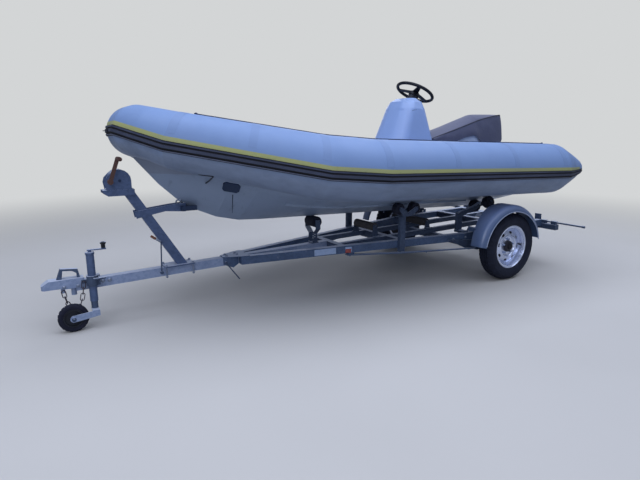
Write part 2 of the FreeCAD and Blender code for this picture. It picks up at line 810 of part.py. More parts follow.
def build_frame():
    low, high = frame_height - beam_height, frame_height
    beam = side_beam()
    beams = pair(beam)
    save("side_beams", on_frame(beams))

    half = drawbar_width / 2
    drawbar = box(drawbar_front_x, front_member_x - beam_width / 2, -half, half, low, high)
    save("drawbar", on_frame(drawbar))

    members = []
    for x in (front_member_x,) + cross_member_x + (rear_member_x,):
        blank = box(x - beam_width / 2, x + beam_width / 2, -parallel_offset, parallel_offset, low, high)
        members.append(middle_solid(blank.cut(beams)))
    rail = box(front_member_x + beam_width / 2, rear_member_x - beam_width / 2,
               -inner_rail_offset - rail_tube / 2, -inner_rail_offset + rail_tube / 2, high - rail_tube, high)
    for member in members:
        rail = rail.cut(member)
    save("ladder_frame", *[on_frame(m) for m in members + [pair(rail)]])

    plate_points = [(junction_front_x, -half - 6), (junction_x, -beam_edge(junction_x, 1) - 4),
                    (junction_rear_x, -beam_edge(junction_rear_x, 1) - 4),
                    (junction_rear_x, beam_edge(junction_rear_x, 1) + 4),
                    (junction_x, beam_edge(junction_x, 1) + 4), (junction_front_x, half + 6)]
    top_plate = plan_profile(plate_points, high, high + junction_plate)
    cheek = side_profile([(junction_front_x, high), (junction_x - 6, high), (junction_x - 6, low),
                          (junction_x - 48, low - 24), (junction_front_x, low + 8)], -half - 6, -half)
    save("junction_bracket", on_frame(fused(top_plate, cheek, mirrored(cheek))))

    # A bent locking lever beside the winch post's foot, and a drop pin's lever under the junction
    side = -half - 6
    boss = on_frame(rod((-2712, -half, 360), (-2712, side - 14, 360), 11))
    foot, knee, end = [V(*p) for p in latch_points]
    lever = rod(foot, knee, latch_radius).fuse(Part.makeSphere(latch_radius, knee)).fuse(rod(knee, end, latch_radius + 2))
    pin_boss = on_frame(rod((-2254, side, 352), (-2254, side - 14, 352), 11))
    pin_foot = on_frame(Part.Vertex(V(-2254, side - 8, 352))).Point
    pin_lever = rod(pin_foot, pin_lever_end, latch_radius)
    save("latch_levers", fused(boss, lever), fused(pin_boss, pin_lever))
    return beams


def middle_solid(shape):
    """Of the solids that a cut left, the one on the centre plane."""
    return min(shape.Solids, key=lambda s: abs(s.BoundBox.Center.y))


def build_running_gear(beams):
    # The axle tube, its swing arms and the stub axles
    half = axle_size / 2
    tube = box(axle_x - half, axle_x + half, -axle_half, axle_half, axle_height - half, axle_height + half)
    hub_z = tyre_diameter / 2
    arm = side_profile([(axle_x - 34, axle_height - half), (axle_x - 34, axle_height + half),
                        (axle_x + 40, axle_height + half + 4), (hub_x, hub_z + 24), (hub_x + 20, hub_z + 12),
                        (hub_x + 20, hub_z - 12), (hub_x, hub_z - 24),
                        (axle_x + 40, axle_height - half - 2)],
                       -axle_half - arm_thickness, -axle_half)
    stub = rod((hub_x, -axle_half - 5, hub_z), (hub_x, -stub_end, hub_z), stub_radius)
    side = arm.fuse(stub).removeSplitter()
    axle = Part.makeCompound([tube, side, mirrored(side)])
    # Triangular mounting plates on the beams' outer faces, and a saddle block over the axle tube
    edge = beam_edge(0, 1)
    plate = side_profile([(-495, 347), (-134, 312), (-134, 285), (-226, 238), (-250, 238)], -edge - 8, -edge)
    saddle = box(axle_x - 40, axle_x + 40, -edge, -edge + beam_width, axle_height + half, frame_height - 40)
    world_beams = on_frame(beams)
    bracket = fused(plate, saddle).cut(world_beams).cut(axle)
    bracket = largest(bracket)
    save("axle", axle, pair(bracket))

    # Tyres and rims. Columns: radius, distance from the wheel's middle plane
    outline = [(165, 47.5), (183, 48), (204, 65), (235, 72.5), (260, 69), (275, 57), (281, 40)]
    outline += [(r, -h) for r, h in reversed(outline)]
    starboard = (hub_x, wheel_plane, hub_z)
    tyre = lathe(outline, starboard)
    barrel = [(161.5, -52), (180, -52), (180, -48.6), (164.7, -48.3), (164.7, 48.3), (180, 48.6), (180, 52),
              (161.5, 52), (161.5, 12), (150, 19), (122, 30), (78, 34), (64, 26), (44, 26), (44, 42), (26, 50),
              (26, 58), (0, 58), (0, 44), (stub_radius + running_gap, 44), (stub_radius + running_gap, -46),
              (38, -46), (44, -30), (64, 18), (64, 21), (77, 29.5), (120, 25.5), (148, 15), (161.5, 6)]
    rim = lathe(barrel, starboard)
    holes = []
    for k in range(rim_holes):
        angle = rad(360.0 * k / rim_holes)
        at = V(hub_x + 118 * math.cos(angle), wheel_plane, hub_z + 118 * math.sin(angle))
        holes.append(Part.makeCylinder(13, 60, at, V(0, 1, 0)))
    rim = rim.cut(Part.makeCompound(holes))
    save("starboard_tyre", tyre)
    save("starboard_rim", rim)
    save("port_tyre", mirrored(tyre))
    save("port_rim", mirrored(rim))

    # Mudguards: a rolled sheet, turned in along the inner edge and rounded down along the outer one
    r, t, drop = mudguard_radius, mudguard_sheet, mudguard_shoulder
    y0 = mudguard_inner - wheel_plane
    y1 = y0 + mudguard_width
    section = [(r - mudguard_lip, y0), (r, y0), (r, y1 - 48), (r - 3, y1 - 30), (r - 9, y1 - 15), (r - 18, y1 - 5),
               (r - drop, y1), (r - drop - 1, y1 - t), (r - 20, y1 - 8), (r - 11.5, y1 - 17), (r - 6, y1 - 31),
               (r - t, y1 - 48), (r - t, y0 + t), (r - mudguard_lip, y0 + t)]
    guard = lathe(section, (mudguard_centre_x, wheel_plane, mudguard_centre_height))
    guard = guard.common(box(-900, 900, 0, 1000, mudguard_hem, 900))
    save("mudguards", pair(mirrored(guard)))

    # Mudguard stays: a long flat bar from under the beam, an upright plate and a rear strap
    z0, z1 = stay_height, stay_height + 8
    path = [(-1325, 232), (-900, 400), (-270, mudguard_inner - 6)]
    inner_edge = [(x, -(y - 20)) for x, y in path]
    outer_edge = [(x, -(y + 20)) for x, y in reversed(path)]
    outer_edge[0] = (path[2][0], -(mudguard_inner - 6))
    bar = plan_profile(inner_edge + outer_edge, z0, z1)
    spacer = box(-1325, -1270, -262, -225, z1, frame_height)
    spacer = spacer.cut(on_frame(box(-1500, -1000, -500, 0, frame_height - beam_height, frame_height + 60)))
    upright = side_profile([(-300, z0), (-200, z0), (-200, 470), (-290, 560), (-385, 460),
                            (-345, 340)],
                           -mudguard_inner, -mudguard_inner + 6)
    strap = box(248, 288, -mudguard_inner, -beam_edge(0, 1), mudguard_hem + 10, mudguard_hem + 16)
    strap_tab = box(250, 284, -mudguard_inner, -mudguard_inner + 6, mudguard_hem + 10, mudguard_hem + 74)
    forward = fused(bar, spacer, upright).cut(world_beams)
    forward = largest(forward)
    save("mudguard_stays", pair(forward), pair(strap.fuse(strap_tab).removeSplitter()))


def build_coupling():
    """The coupling head, its grip, the chain and the clamp-on jockey wheel."""
    half = drawbar_width / 2
    low, high = frame_height - beam_height, frame_height
    drawbar = on_frame(box(drawbar_front_x - seat_gap, -3000, -half - seat_gap, half + seat_gap,
                           low - seat_gap, high + seat_gap))
    nose = coupling_nose_x
    body = side_profile([(nose, 268), (nose, 295), (nose + 43, 322), (-3188, 324), (-3188, 262), (-3300, 262),
                         (-3322, 268)], -coupling_half, coupling_half)
    edges = [e for e in body.Edges if abs(e.Vertexes[0].X - nose) < 1 and abs(e.Vertexes[1].X - nose) < 1
             and abs(e.Vertexes[0].Z - e.Vertexes[1].Z) > 1]
    body = body.makeFillet(24, edges)
    socket = Part.makeCylinder(socket_radius, socket_depth, V(socket_x, 0, 268 - 1))
    dome = Part.makeSphere(socket_radius, V(socket_x, 0, 268 - 1 + socket_depth))
    stub = Part.makeCylinder(16, 52, V(-3250, 0, 212))
    lug = box(chain_start[0] - 12, chain_start[0] + 12, -26, -14, chain_start[2] - 12, 269)
    stud = rod((chain_start[0], -20, chain_start[2]), (chain_start[0], chain_start[1] - link_wire, chain_start[2]),
               chain_stud)
    head = fused(body, stub, lug, stud).cut(fused(socket, dome)).cut(drawbar)
    save("coupling_head", head)

    outer = [(-3342, 323), (-3316, 389), (-3218, 379), (-3208, 323.6)]
    inner = [(-3316, 323), (-3304, 375), (-3250, 369), (-3226, 352), (-3226, 323.4)]
    grip = side_profile(outer, -15, 15).cut(side_profile([(-3316, 300)] + inner[1:4] + [(-3226, 300)], -20, 20))
    grip = grip.cut(head)
    save("coupling_grip", grip)
    chain_links = chain()
    save("safety_chain", *chain_links)
    return head


def chain_link(centre, along, flat):
    """An octagonal chain link: along is its long direction, flat the normal of its plane."""
    long_half, wide_half, wire, cut = link_length / 2, link_width / 2, link_wire, 7.0
    side = flat.cross(along)

    def ring(a, b, c):
        corners = [(a - c, -b), (a, -b + c), (a, b - c), (a - c, b), (-a + c, b), (-a, b - c), (-a, -b + c), (-a + c, -b)]
        return Part.Face(Part.makePolygon([centre + along * p + side * q for p, q in corners + corners[:1]]))
    face = ring(long_half, wide_half, cut).cut(ring(long_half - wire, wide_half - wire, 2.2))
    face.translate(flat * (-wire / 2))
    return face.extrude(flat * wire)


def chain():
    """A slack chain from the lug under the coupling head to the stud on the jack's clamp."""
    start, end = V(*chain_start), V(*chain_end)
    pitch = link_length - 2 * link_wire - link_play
    half_pitch = pitch / 2
    first = link_length / 2 - link_wire - chain_stud - 0.4 + half_pitch
    lengths = [first] + [pitch] * (link_count - 2) + [first]
    for k in range(2, link_count - 3):
        lengths[k] -= bend_play
    total = sum(lengths)
    span = math.hypot(end.x - start.x, end.y - start.y)
    drop = end.z - start.z
    reach = math.sqrt(total ** 2 - drop ** 2)
    low, high = 0.01, 20.0
    for _ in range(60):
        u = (low + high) / 2
        if math.sinh(u) / u < reach / span:
            low = u
        else:
            high = u
    a = span / (2 * u)
    shift = a * math.asinh(drop / (2 * a * math.sinh(u)))
    left = span / 2 - shift

    def height(s):
        return a * (math.cosh((s - left) / a) - math.cosh(left / a))

    def length_to(s):
        return a * (math.sinh((s - left) / a) + math.sinh(left / a))
    level = V(end.x - start.x, end.y - start.y, 0).normalize()
    across = level.cross(V(0, 0, 1))
    joints = [start]
    done = 0.0
    for step in lengths[:-1]:
        done += step
        s0, s1 = 0.0, span
        for _ in range(50):
            middle = (s0 + s1) / 2
            if length_to(middle) < done:
                s0 = middle
            else:
                s1 = middle
        joints.append(start + level * s0 + V(0, 0, height(s0)))
    joints.append(end)
    links = []
    for k in range(link_count):
        a_point, b_point = joints[k], joints[k + 1]
        along = (b_point - a_point).normalize()
        if k == 0:
            centre = a_point + along * (first - half_pitch)
        elif k == link_count - 1:
            centre = b_point - along * (first - half_pitch)
        else:
            centre = (a_point + b_point) * 0.5
        flat = across if k % 2 == 0 else along.cross(across)
        links.append(chain_link(centre, along, flat))
    return links


def build_jack(head):
    """The clamp on the drawbar's port side, the telescopic jack and its castor wheel."""
    y = jack_offset
    x = jack_x
    outer, wall = jack_tube_radius, jack_tube_wall
    bore = outer - wall
    tube = Part.makeCylinder(outer, jack_tube_top - jack_tube_bottom, V(x, y, jack_tube_bottom))
    tube = tube.cut(Part.makeCylinder(bore, jack_tube_top - jack_tube_bottom, V(x, y, jack_tube_bottom - 12)))
    cap = Part.makeCylinder(outer + 3, 14, V(x, y, jack_tube_top))
    post = Part.makeCylinder(9, 10, V(x, y, jack_tube_top + 14))
    tube = fused(tube, cap, post)
    top = jack_tube_top + 24
    arm = box(x - 14, x + 96, y - 10, y + 10, top, top + 7)
    knob = Part.makeCylinder(12, 30, V(x + 82, y, top + 7)).fuse(Part.makeCylinder(17, 10, V(x + 82, y, top + 37)))
    save("jack_outer_tube", tube, arm, knob.removeSplitter())

    ring = Part.makeCylinder(outer + 9, 66, V(x, y, 272))
    block = box(x - 30, x + 46, y - 6, -drawbar_width / 2 - seat_gap, 272, 338)
    clamp = ring.fuse(block).cut(Part.makeCylinder(outer + seat_gap, 100, V(x, y, 260)))
    stud = rod((chain_end[0], -drawbar_width / 2 - seat_gap, chain_end[2]),
               (chain_end[0], chain_end[1] - link_wire, chain_end[2]), chain_stud)
    stud_plate = box(chain_end[0] - 12, x - 28, -drawbar_width / 2 - seat_gap - 6, -drawbar_width / 2 - seat_gap,
                     chain_end[2] - 12, chain_end[2] + 12)
    screw = rod((x + 38, y - 4, 325), (x + 38, y - 52, 325), 6)
    bar = rod((x + 2, y - 50, 325), (x + 74, y - 50, 325), 6)
    clamp = fused(clamp, stud, stud_plate.cut(on_frame(drawbar_blank())), screw, bar)
    clamp = clamp.cut(head)
    save("jack_clamp", largest(clamp))

    foot = jack_foot_height
    leg = Part.makeCylinder(bore - running_gap, jack_leg_top - foot, V(x, y, foot))
    pin = Part.makeCylinder(8, 22, V(x, y, foot - 20))
    nut = Part.makeCylinder(13, 8, V(x, y, foot - 20))
    save("jack_leg", fused(leg, pin, nut))

    wheel_x, wheel_y, wheel_z = x - jockey_trail, jockey_plane, jockey_radius
    arm_y = jockey_plane - jockey_width / 2 - 7
    plate = box(x - 20, x + 22, arm_y - 6, y + 24, foot - 6.3, foot - 0.3)
    cheek = side_profile([(x + 22, foot - 0.3), (x + 22, foot - 38), (wheel_x, wheel_z - 21), (wheel_x, wheel_z + 21)],
                         arm_y - 6, arm_y)
    eye = Part.makeCylinder(21, 6, V(wheel_x, arm_y - 6, wheel_z), V(0, 1, 0))
    pin = Part.makeCylinder(8, 12 + jockey_width, V(wheel_x, arm_y - 3, wheel_z), V(0, 1, 0))
    head_bolt = Part.makeCylinder(12, 7, V(wheel_x, arm_y - 13, wheel_z), V(0, 1, 0))
    fork = fused(plate, cheek, eye, pin, head_bolt)
    fork = fork.cut(Part.makeCylinder(8 + running_gap, 40, V(x, y, foot - 20)))
    save("jack_fork", fork)

    half = jockey_width / 2
    r, seat = jockey_radius, jockey_radius - 30
    tyre = lathe([(seat, -half + 4), (r - 8, -half), (r, -half + 9), (r, half - 9), (r - 8, half), (seat, half - 4)],
                 (wheel_x, wheel_y, wheel_z))
    save("jockey_tyre", tyre)
    rim = seat - seat_gap
    disc = [(8 + running_gap, -half - 3), (17, -half - 3), (17, -9), (rim - 12, -7), (rim - 8, -half + 5),
            (rim, -half + 5), (rim, half - 5), (rim - 8, half - 5), (rim - 12, 7), (17, 9), (17, half + 3),
            (8 + running_gap, half + 3)]
    save("jockey_rim", lathe(disc, (wheel_x, wheel_y, wheel_z)))


def drawbar_blank():
    half = drawbar_width / 2
    return box(drawbar_front_x, -2000, -half, half, frame_height - beam_height, frame_height)


def build_winch():
    """The raked winch post with its winch, and the bow stop."""
    half = post_size / 2
    base_z = frame_height + post_plate
    foot = on_frame(Part.Vertex(V(post_foot_x, 0, base_z))).Point
    plate = box(post_foot_x - 125, post_foot_x + 79, -60, 60, frame_height, base_z)
    run, rise = post_top_x - foot.x, post_top_height - foot.z
    slope = run / rise
    wide = post_size / math.cos(math.atan(slope)) / 2
    low_z, high_z = foot.z - 30, post_top_height
    post = side_profile([(foot.x + slope * (low_z - foot.z) - wide, low_z), (foot.x + slope * (low_z - foot.z) + wide, low_z),
                         (post_top_x + wide, high_z), (post_top_x - wide, high_z)], -half, half)
    under = on_frame(box(-3400, -2000, -200, 200, 0, base_z))
    post = post.cut(under)

    # Folded shelf that carries the winch
    x0, x1, top = shelf_front_x, shelf_rear_x, post_top_height
    shelf = box(x0, x1, -winch_cheek_half, winch_cheek_half, top, top + 5)
    lip = side_profile([(x0, top), (x1, top), (x1, top - 30), (x1 - 40, top - 34), (x0 + 30, top - 34), (x0, top - 14)],
                       -winch_cheek_half, -winch_cheek_half + 5)
    save("winch_post", on_frame(plate), post, fused(shelf, lip, mirrored(lip)))

    # Winch frame: two cheeks on a base, with a round guard over the drum
    base_top = top + 10
    wx, wz = winch_x, winch_axis_height
    frame_plate = box(wx - 78, wx + 74, -winch_cheek_half + 2, winch_cheek_half - 2, top + 5, base_top)
    outline = [(wx + 70, top + 5), (wx + 70, wz)]
    outline += [(wx + 70 * math.cos(rad(a)), wz + 70 * math.sin(rad(a))) for a in range(20, 160, 20)]
    outline += [(wx - 80, wz + 18), (wx - 88, wz - 10), (wx - 80, top + 5)]
    cheek = side_profile(outline, -winch_cheek_half + 2, -winch_cheek_half + 6)
    bores = fused(rod((wx, -80, wz), (wx, 80, wz), 9 + running_gap),
                  rod((crank_x, -80, crank_axis_height), (crank_x, 80, crank_axis_height), 8 + running_gap))
    frame = fused(frame_plate, cheek, mirrored(cheek)).cut(bores)
    inside = winch_cheek_half - 6
    cover = lathe([(66.5, -inside), (69, -inside), (69, inside), (66.5, inside)], (wx, 0, wz))
    cover = cover.common(box(wx - 120, wx + 120, -80, 80, wz + 14, wz + 120))
    save("winch_frame", frame, cover)
    reach = inside - 2
    drum = lathe([(0, -inside - 12), (9, -inside - 12), (9, -reach), (50, -reach), (50, -reach + 4), (drum_radius, -reach + 4),
                  (drum_radius, reach - 4), (50, reach - 4), (50, reach), (9, reach), (9, inside + 12),
                  (0, inside + 12)], (wx, 0, wz))
    strap = lathe([(drum_radius + 0.3, -26), (44, -26), (44, 26), (drum_radius + 0.3, 26)], (wx, 0, wz))
    save("winch_drum", drum, strap)

    cx, cz = crank_x, crank_axis_height
    spindle = rod((cx, winch_cheek_half + 4, cz), (cx, -winch_cheek_half - 44, cz), 8)
    turn = rad(crank_angle)
    ex, ez = cx + crank_throw * math.cos(turn), cz + crank_throw * math.sin(turn)
    arm_y = -winch_cheek_half - 40
    side = V(-math.sin(turn), 0, math.cos(turn)) * 12
    arm = polygon([(cx - side.x, arm_y - 6, cz - side.z), (ex - side.x, arm_y - 6, ez - side.z),
                   (ex + side.x, arm_y - 6, ez + side.z), (cx + side.x, arm_y - 6, cz + side.z)]).extrude(V(0, 6, 0))
    boss = rod((cx, arm_y - 10, cz), (cx, arm_y + 14, cz), 17)
    end_boss = rod((ex, arm_y - 6, ez), (ex, arm_y, ez), 13)
    peg = rod((ex, arm_y - 3, ez), (ex, arm_y - 100, ez), 5)
    crank = fused(spindle, arm, boss, end_boss, peg)
    grip = lathe([(5.3, -96), (13, -96), (14, -60), (13, -12), (5.3, -12)], (ex, arm_y, ez))
    save("winch_crank", crank, grip)


def build_bow_stop(hull):
    """Two straps from the winch post carry the notched rubber block that the stem rests in."""
    half = post_size / 2
    outline = [(-2852, 715), (-2613, 743), (-2517, 750), (-2521, 690), (-2657, 702), (-2843, 667)]
    strap = side_profile(outline, -half - 6, -half)
    save("bow_stop_straps", pair(strap))
    block = box(-2556, -2400, -75, 75, 667, 731)
    shifted = hull.copy()
    shifted.translate(V(-0.45, 0, -0.3))
    block = block.cut(shifted).cut(pair(strap)).cut(hull)
    solid = largest(block)
    save("bow_stop_block", solid)


def hull_z_at(hull, x, y):
    """Height of the hull's bottom skin above the point (x, y)."""
    line = Part.makeLine(V(x, y, 300), V(x, y, 1300))
    hit = line.common(hull)
    return min(v.Z for v in hit.Vertexes)


def build_supports(hull, beams):
    """The rollers that carry the hull, on their brackets."""
    world_beams = on_frame(beams)
    # Keel roller on the drawbar
    x = keel_roller_x
    roller_z = hull_z_at(hull, x, 0) - keel_roller_radius - seat_gap - 0.1
    deck = frame_height
    half = keel_roller_length / 2
    base = box(x - 30, x + 30, -34, 34, deck, deck + 6)
    level_roller = roller_z + (deck - on_frame(Part.Vertex(V(x, 0, deck))).Point.z)
    flare = level_roller - keel_roller_radius - 8
    ear = front_profile([(-28, deck + 5), (-28, flare - 42), (-half - 6, flare), (-half - 6, level_roller + 16),
                         (-half - 12, level_roller + 16), (-half - 12, flare - 3), (-34, flare - 46),
                         (-34, deck + 5)], x - 21, x + 21)
    bracket = on_frame(fused(base, ear, mirrored(ear)))
    pin = rod((x, -half - 14, roller_z), (x, half + 14, roller_z), 8)
    save("keel_roller_bracket", fused(bracket, pin))
    r = keel_roller_radius
    roller = lathe([(8 + running_gap, -half), (r - 8, -half), (r, -half + 14), (r, half - 14), (r - 8, half),
                    (8 + running_gap, half)], (x, 0, roller_z))
    save("keel_roller", roller)

    # Wide rollers between the inner rails
    brackets = []
    for name, x, z in (("front_wide_roller", wide_roller_x[0], wide_roller_height + 5),
                       ("rear_wide_roller", wide_roller_x[1], wide_roller_height - 10)):
        half = wide_roller_length / 2
        rail_top = on_frame(Part.Vertex(V(x, 0, frame_height))).Point.z
        ear = side_profile([(x - 34, rail_top - 8), (x + 34, rail_top - 8), (x + 16, z + 18), (x - 16, z + 18)],
                           -half - 12, -half - 6)
        shoe = box(x - 34, x + 34, -inner_rail_offset - 14, -half - 6, rail_top - 8, rail_top + 6)
        side = ear.fuse(shoe).cut(on_frame(box(-3000, 2000, -inner_rail_offset - rail_tube / 2, -half - 12.2,
                                               0, frame_height)))
        side = side.cut(on_frame(box(-3000, 2000, -500, 0, 0, frame_height)))
        pin = rod((x, -half - 16, z), (x, half + 16, z), 8)
        brackets.append(fused(side, mirrored(side), pin))
        r = wide_roller_radius
        outline = [(8 + running_gap, -half), (r, -half), (r, half), (8 + running_gap, half)]
        save(name, lathe(outline, (x, 0, z)))
    save("wide_roller_brackets", *brackets)

    # Bilge posts, each with a rocker that carries two rollers
    x, y = bilge_x, bilge_offset
    post_low = stay_height + 8
    edge = beam_edge(x, 1)
    post = box(x - 27, x + 27, -edge - 26, -edge + 20, post_low, bilge_post_top)
    post = largest(post.cut(world_beams))
    post = post.cut(box(x - 60, x + 60, -edge + 3, 0, 0, 1000))
    post = largest(post)
    half = bilge_roller_length / 2
    parts = [post]
    plate = box(x - 45, x + 45, -y - half - 10, -y + half + 10, bilge_post_top, bilge_post_top + 6)
    parts.append(plate)
    axes = []
    for step in (-1, 1):
        at = x + step * bilge_spread + 10
        inner = y - half
        z = hull_z_at(hull, at, -inner) - bilge_roller_radius - seat_gap - 0.2
        axes.append((at, z))
    for edge_y in (-y - half - 10, -y + half + 4):
        outline = [(x - 45, bilge_post_top), (x + 45, bilge_post_top), (axes[1][0] + 16, axes[1][1] - 8),
                   (axes[1][0] + 12, axes[1][1] + 14), (axes[1][0] - 12, axes[1][1] + 14),
                   (x, bilge_post_top + 30), (axes[0][0] + 12, axes[0][1] + 14),
                   (axes[0][0] - 12, axes[0][1] + 14), (axes[0][0] - 16, axes[0][1] - 8)]
        parts.append(side_profile(outline, edge_y, edge_y + 6))
    for at, z in axes:
        parts.append(rod((at, -y - half - 12, z), (at, -y + half + 12, z), 8))
    save("bilge_roller_posts", pair(fused(*parts)))
    r = bilge_roller_radius
    for (at, z), place in zip(axes, ("fore", "aft")):
        outline = [(8 + running_gap, -half), (r - 4, -half), (r, -half + 5), (r, half - 5), (r - 4, half),
                   (8 + running_gap, half)]
        roller = lathe(outline, (at, -y, z))
        save("port_%s_bilge_roller" % place, roller)
        save("starboard_%s_bilge_roller" % place, mirrored(roller))

    # Rear cradles: two rollers on one shaft that follows the bottom's slope
    x = cradle_x
    tilt = math.atan((chine_height - keel_height) / chine_half)
    z_mid = hull_z_at(hull, x, -cradle_mid)
    r = cradle_roller_radius
    z = z_mid - (r + seat_gap + 0.1) / math.cos(tilt)
    centre = V(x, -cradle_mid, z)
    along = V(0, math.cos(tilt), -math.sin(tilt))

    def on_shaft(outline, offset):
        shape = lathe(outline, (x, -cradle_mid + offset, z))
        shape.rotate(centre, V(1, 0, 0), -math.degrees(tilt))
        return shape
    half = cradle_roller_length / 2
    outline = [(9 + running_gap, -half), (r - 5, -half), (r, -half + 6), (r, half - 6), (r - 5, half),
               (9 + running_gap, half)]
    spread = cradle_spread
    rollers = Part.makeCompound([on_shaft(outline, -spread), on_shaft(outline, spread)])
    save("port_cradle_rollers", rollers)
    save("starboard_cradle_rollers", mirrored(rollers))
    shaft = Part.makeCylinder(9, 2 * (spread + half + 10), centre - along * (spread + half + 10), along)
    hub = Part.makeCylinder(20, 2 * (spread - half - 6), centre - along * (spread - half - 6), along)
    arm_outline = [(x - 20, z - 14), (x + 14, z - 20), (x + 24, z), (x + 14, z + 18), (x - 20, z + 20), (x - 80, z - 8),
                   (x - 180, z - 30), (x - 250, z - 46), (x - 296, z - 60), (x - 296, 372), (x - 246, 372), (x - 246, z - 90),
                   (x - 180, z - 66), (x - 80, z - 44)]
    arm = side_profile(arm_outline, -cradle_mid - 18, -cradle_mid + 18)
    foot = box(x - 300, x - 242, -parallel_offset + 10, -cradle_mid + 18, 372, 392)
    arm = fused(arm, foot, hub, shaft)
    arm = arm.cut(world_beams)
    arm = largest(arm)
    save("cradle_arms", pair(arm))


def build_lights(beams):
    """The light bar across the frame's rear ends with its marker rods, reflectors and a blank plate."""
    x = frame_rear_x
    bar = box(x + 6, x + 56, -light_bar_half, light_bar_half, light_bar_top - 48, light_bar_top)
    plate = box(x, x + 6, -parallel_offset - 14, -parallel_offset + 52, light_bar_top - 48, light_bar_top + 88)
    rod_z = light_bar_top + 20
    mast = rod((x + 31, -light_rod_start, rod_z), (x + 31, -light_rod_reach + 20, rod_z), light_rod_radius)
    marker = rod((x + 31, -light_rod_reach + 20, rod_z), (x + 31, -light_rod_reach, rod_z), 11)
    clamps = [box(x + 16, x + 46, -y - 25, -y + 25, light_bar_top, light_bar_top + 32) for y in (500, 604)]
    arm = fused(mast, marker, *clamps)
    save("rear_lamps", on_frame(bar), on_frame(pair(plate)), on_frame(pair(arm)))
    slope_angle = math.degrees(math.atan(beam_slope))

    def on_beam_face(x, length, height, z, thick):
        tile = box(-length / 2, length / 2, -thick, 0, z - height / 2, z + height / 2)
        tile.rotate(V(0, 0, 0), V(0, 0, 1), -slope_angle)
        tile.translate(V(x, -beam_edge(x, 1), 0))
        return tile
    reflector = on_beam_face(-1333, 52, 40, frame_height - beam_height / 2, 6)
    plate = on_beam_face(-1520, 175, 46, frame_height - beam_height / 2, 2.5)
    save("beam_plates", on_frame(pair(reflector)), on_frame(plate))


stern_tip = on_boat(Part.Vertex(V(stern_tip_x, -tube_offset, tube_height + cone_rise))).Point
middle_x = (coupling_nose_x + stern_tip.x) / 2
if __name__ == "__main__":
    boat_hull = build_boat()
    frame_beams = build_frame()
    build_running_gear(frame_beams)
    coupling = build_coupling()
    build_jack(coupling)
    build_winch()
    build_bow_stop(boat_hull)
    build_supports(boat_hull, frame_beams)
    build_lights(frame_beams)
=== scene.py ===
# %% [markdown]
# A small rigid inflatable boat on its road trailer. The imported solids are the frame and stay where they
# are. This script gives them finishes, and adds what a plain solid can't show: seams, cloth, rope,
# fasteners and tread.

# %%
# Load the frame
import math

import bmesh
import bpy
from mathutils import Matrix, Vector
from mathutils.bvhtree import BVHTree


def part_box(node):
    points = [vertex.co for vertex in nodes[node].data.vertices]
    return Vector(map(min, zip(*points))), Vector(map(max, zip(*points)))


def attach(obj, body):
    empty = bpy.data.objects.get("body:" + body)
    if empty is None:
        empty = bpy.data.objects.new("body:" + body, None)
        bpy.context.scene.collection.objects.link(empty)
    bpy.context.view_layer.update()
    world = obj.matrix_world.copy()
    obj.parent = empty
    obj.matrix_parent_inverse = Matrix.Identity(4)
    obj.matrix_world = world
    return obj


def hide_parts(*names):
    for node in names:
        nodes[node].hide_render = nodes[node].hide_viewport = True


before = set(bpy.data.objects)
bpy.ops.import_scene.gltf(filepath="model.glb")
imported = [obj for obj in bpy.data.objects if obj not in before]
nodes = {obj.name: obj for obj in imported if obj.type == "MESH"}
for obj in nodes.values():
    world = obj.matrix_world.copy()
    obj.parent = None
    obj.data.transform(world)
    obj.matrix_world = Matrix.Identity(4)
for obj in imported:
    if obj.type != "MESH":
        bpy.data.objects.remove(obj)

scene = bpy.context.scene
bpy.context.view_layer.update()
HULL = "boat_on_trailer"

# %% [markdown]
# The real trailer was measured in millimetres from its axle, and the boat sits on it with its bow a
# little raised. Each is drawn level and then turned about one point, because level drawings are easy to
# measure. Three small functions take a place in those drawings to the scene's metres.

# %%
# Places in the drawing
drawing_nose = -3430.0
boat_pivot, boat_pitch = (335.0, 520.0), math.radians(1.55)
frame_pivot, frame_pitch = (0.0, 390.0), math.radians(-1.575)
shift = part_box("coupling_head")[0].x - drawing_nose / 1000
sides = (-1, 1)


def at(x, y, z):
    """A point of the drawing in millimetres, standing on the floor."""
    return Vector((x / 1000 + shift, y / 1000, z / 1000))


def pitched(x, y, z, pivot, angle):
    """A point of a level drawing, turned about a pivot."""
    dx, dz = x - pivot[0], z - pivot[1]
    return at(pivot[0] + dx * math.cos(angle) + dz * math.sin(angle), y,
              pivot[1] - dx * math.sin(angle) + dz * math.cos(angle))


def on_boat(x, y, z):
    """A point of the boat's level drawing."""
    return pitched(x, y, z, boat_pivot, boat_pitch)


def on_frame(x, y, z):
    """A point of the trailer frame's level drawing."""
    return pitched(x, y, z, frame_pivot, frame_pitch)


print("the drawing is moved by", round(shift, 4), "m")

# %% [markdown]
# The photograph was taken standing at the port bow with an ordinary lens. The camera here has the same
# place, turn and focal length, so that a render can be laid over the photograph.

# %%
# The camera of the photograph
image_width, focal_pixels, sensor_width = 640, 488.362, 36.0
camera_place = (-3433.31, -3344.29, 1200.04)
yaw, pitch, roll = 0.53972, 0.21210, 0.0019282
forward = Vector((math.sin(yaw) * math.cos(pitch), math.cos(yaw) * math.cos(pitch), -math.sin(pitch)))
right = Vector((math.cos(yaw), -math.sin(yaw), 0.0))
down = forward.cross(right)
level_right = right * math.cos(roll) + down * math.sin(roll)
level_down = down * math.cos(roll) - right * math.sin(roll)
camera_data = bpy.data.cameras.new("camera")
camera_data.sensor_fit = "HORIZONTAL"
camera_data.sensor_width = sensor_width
camera_data.lens = focal_pixels / image_width * sensor_width
camera_data.clip_end = 100
camera = bpy.data.objects.new("camera", camera_data)
scene.collection.objects.link(camera)
turn = Matrix((level_right, -level_down, -forward)).transposed().to_4x4()
camera.matrix_world = Matrix.Translation(at(*camera_place)) @ turn
scene.camera = camera
scene.view_settings.view_transform = "Standard"
print("lens of", round(camera_data.lens, 2), "mm")

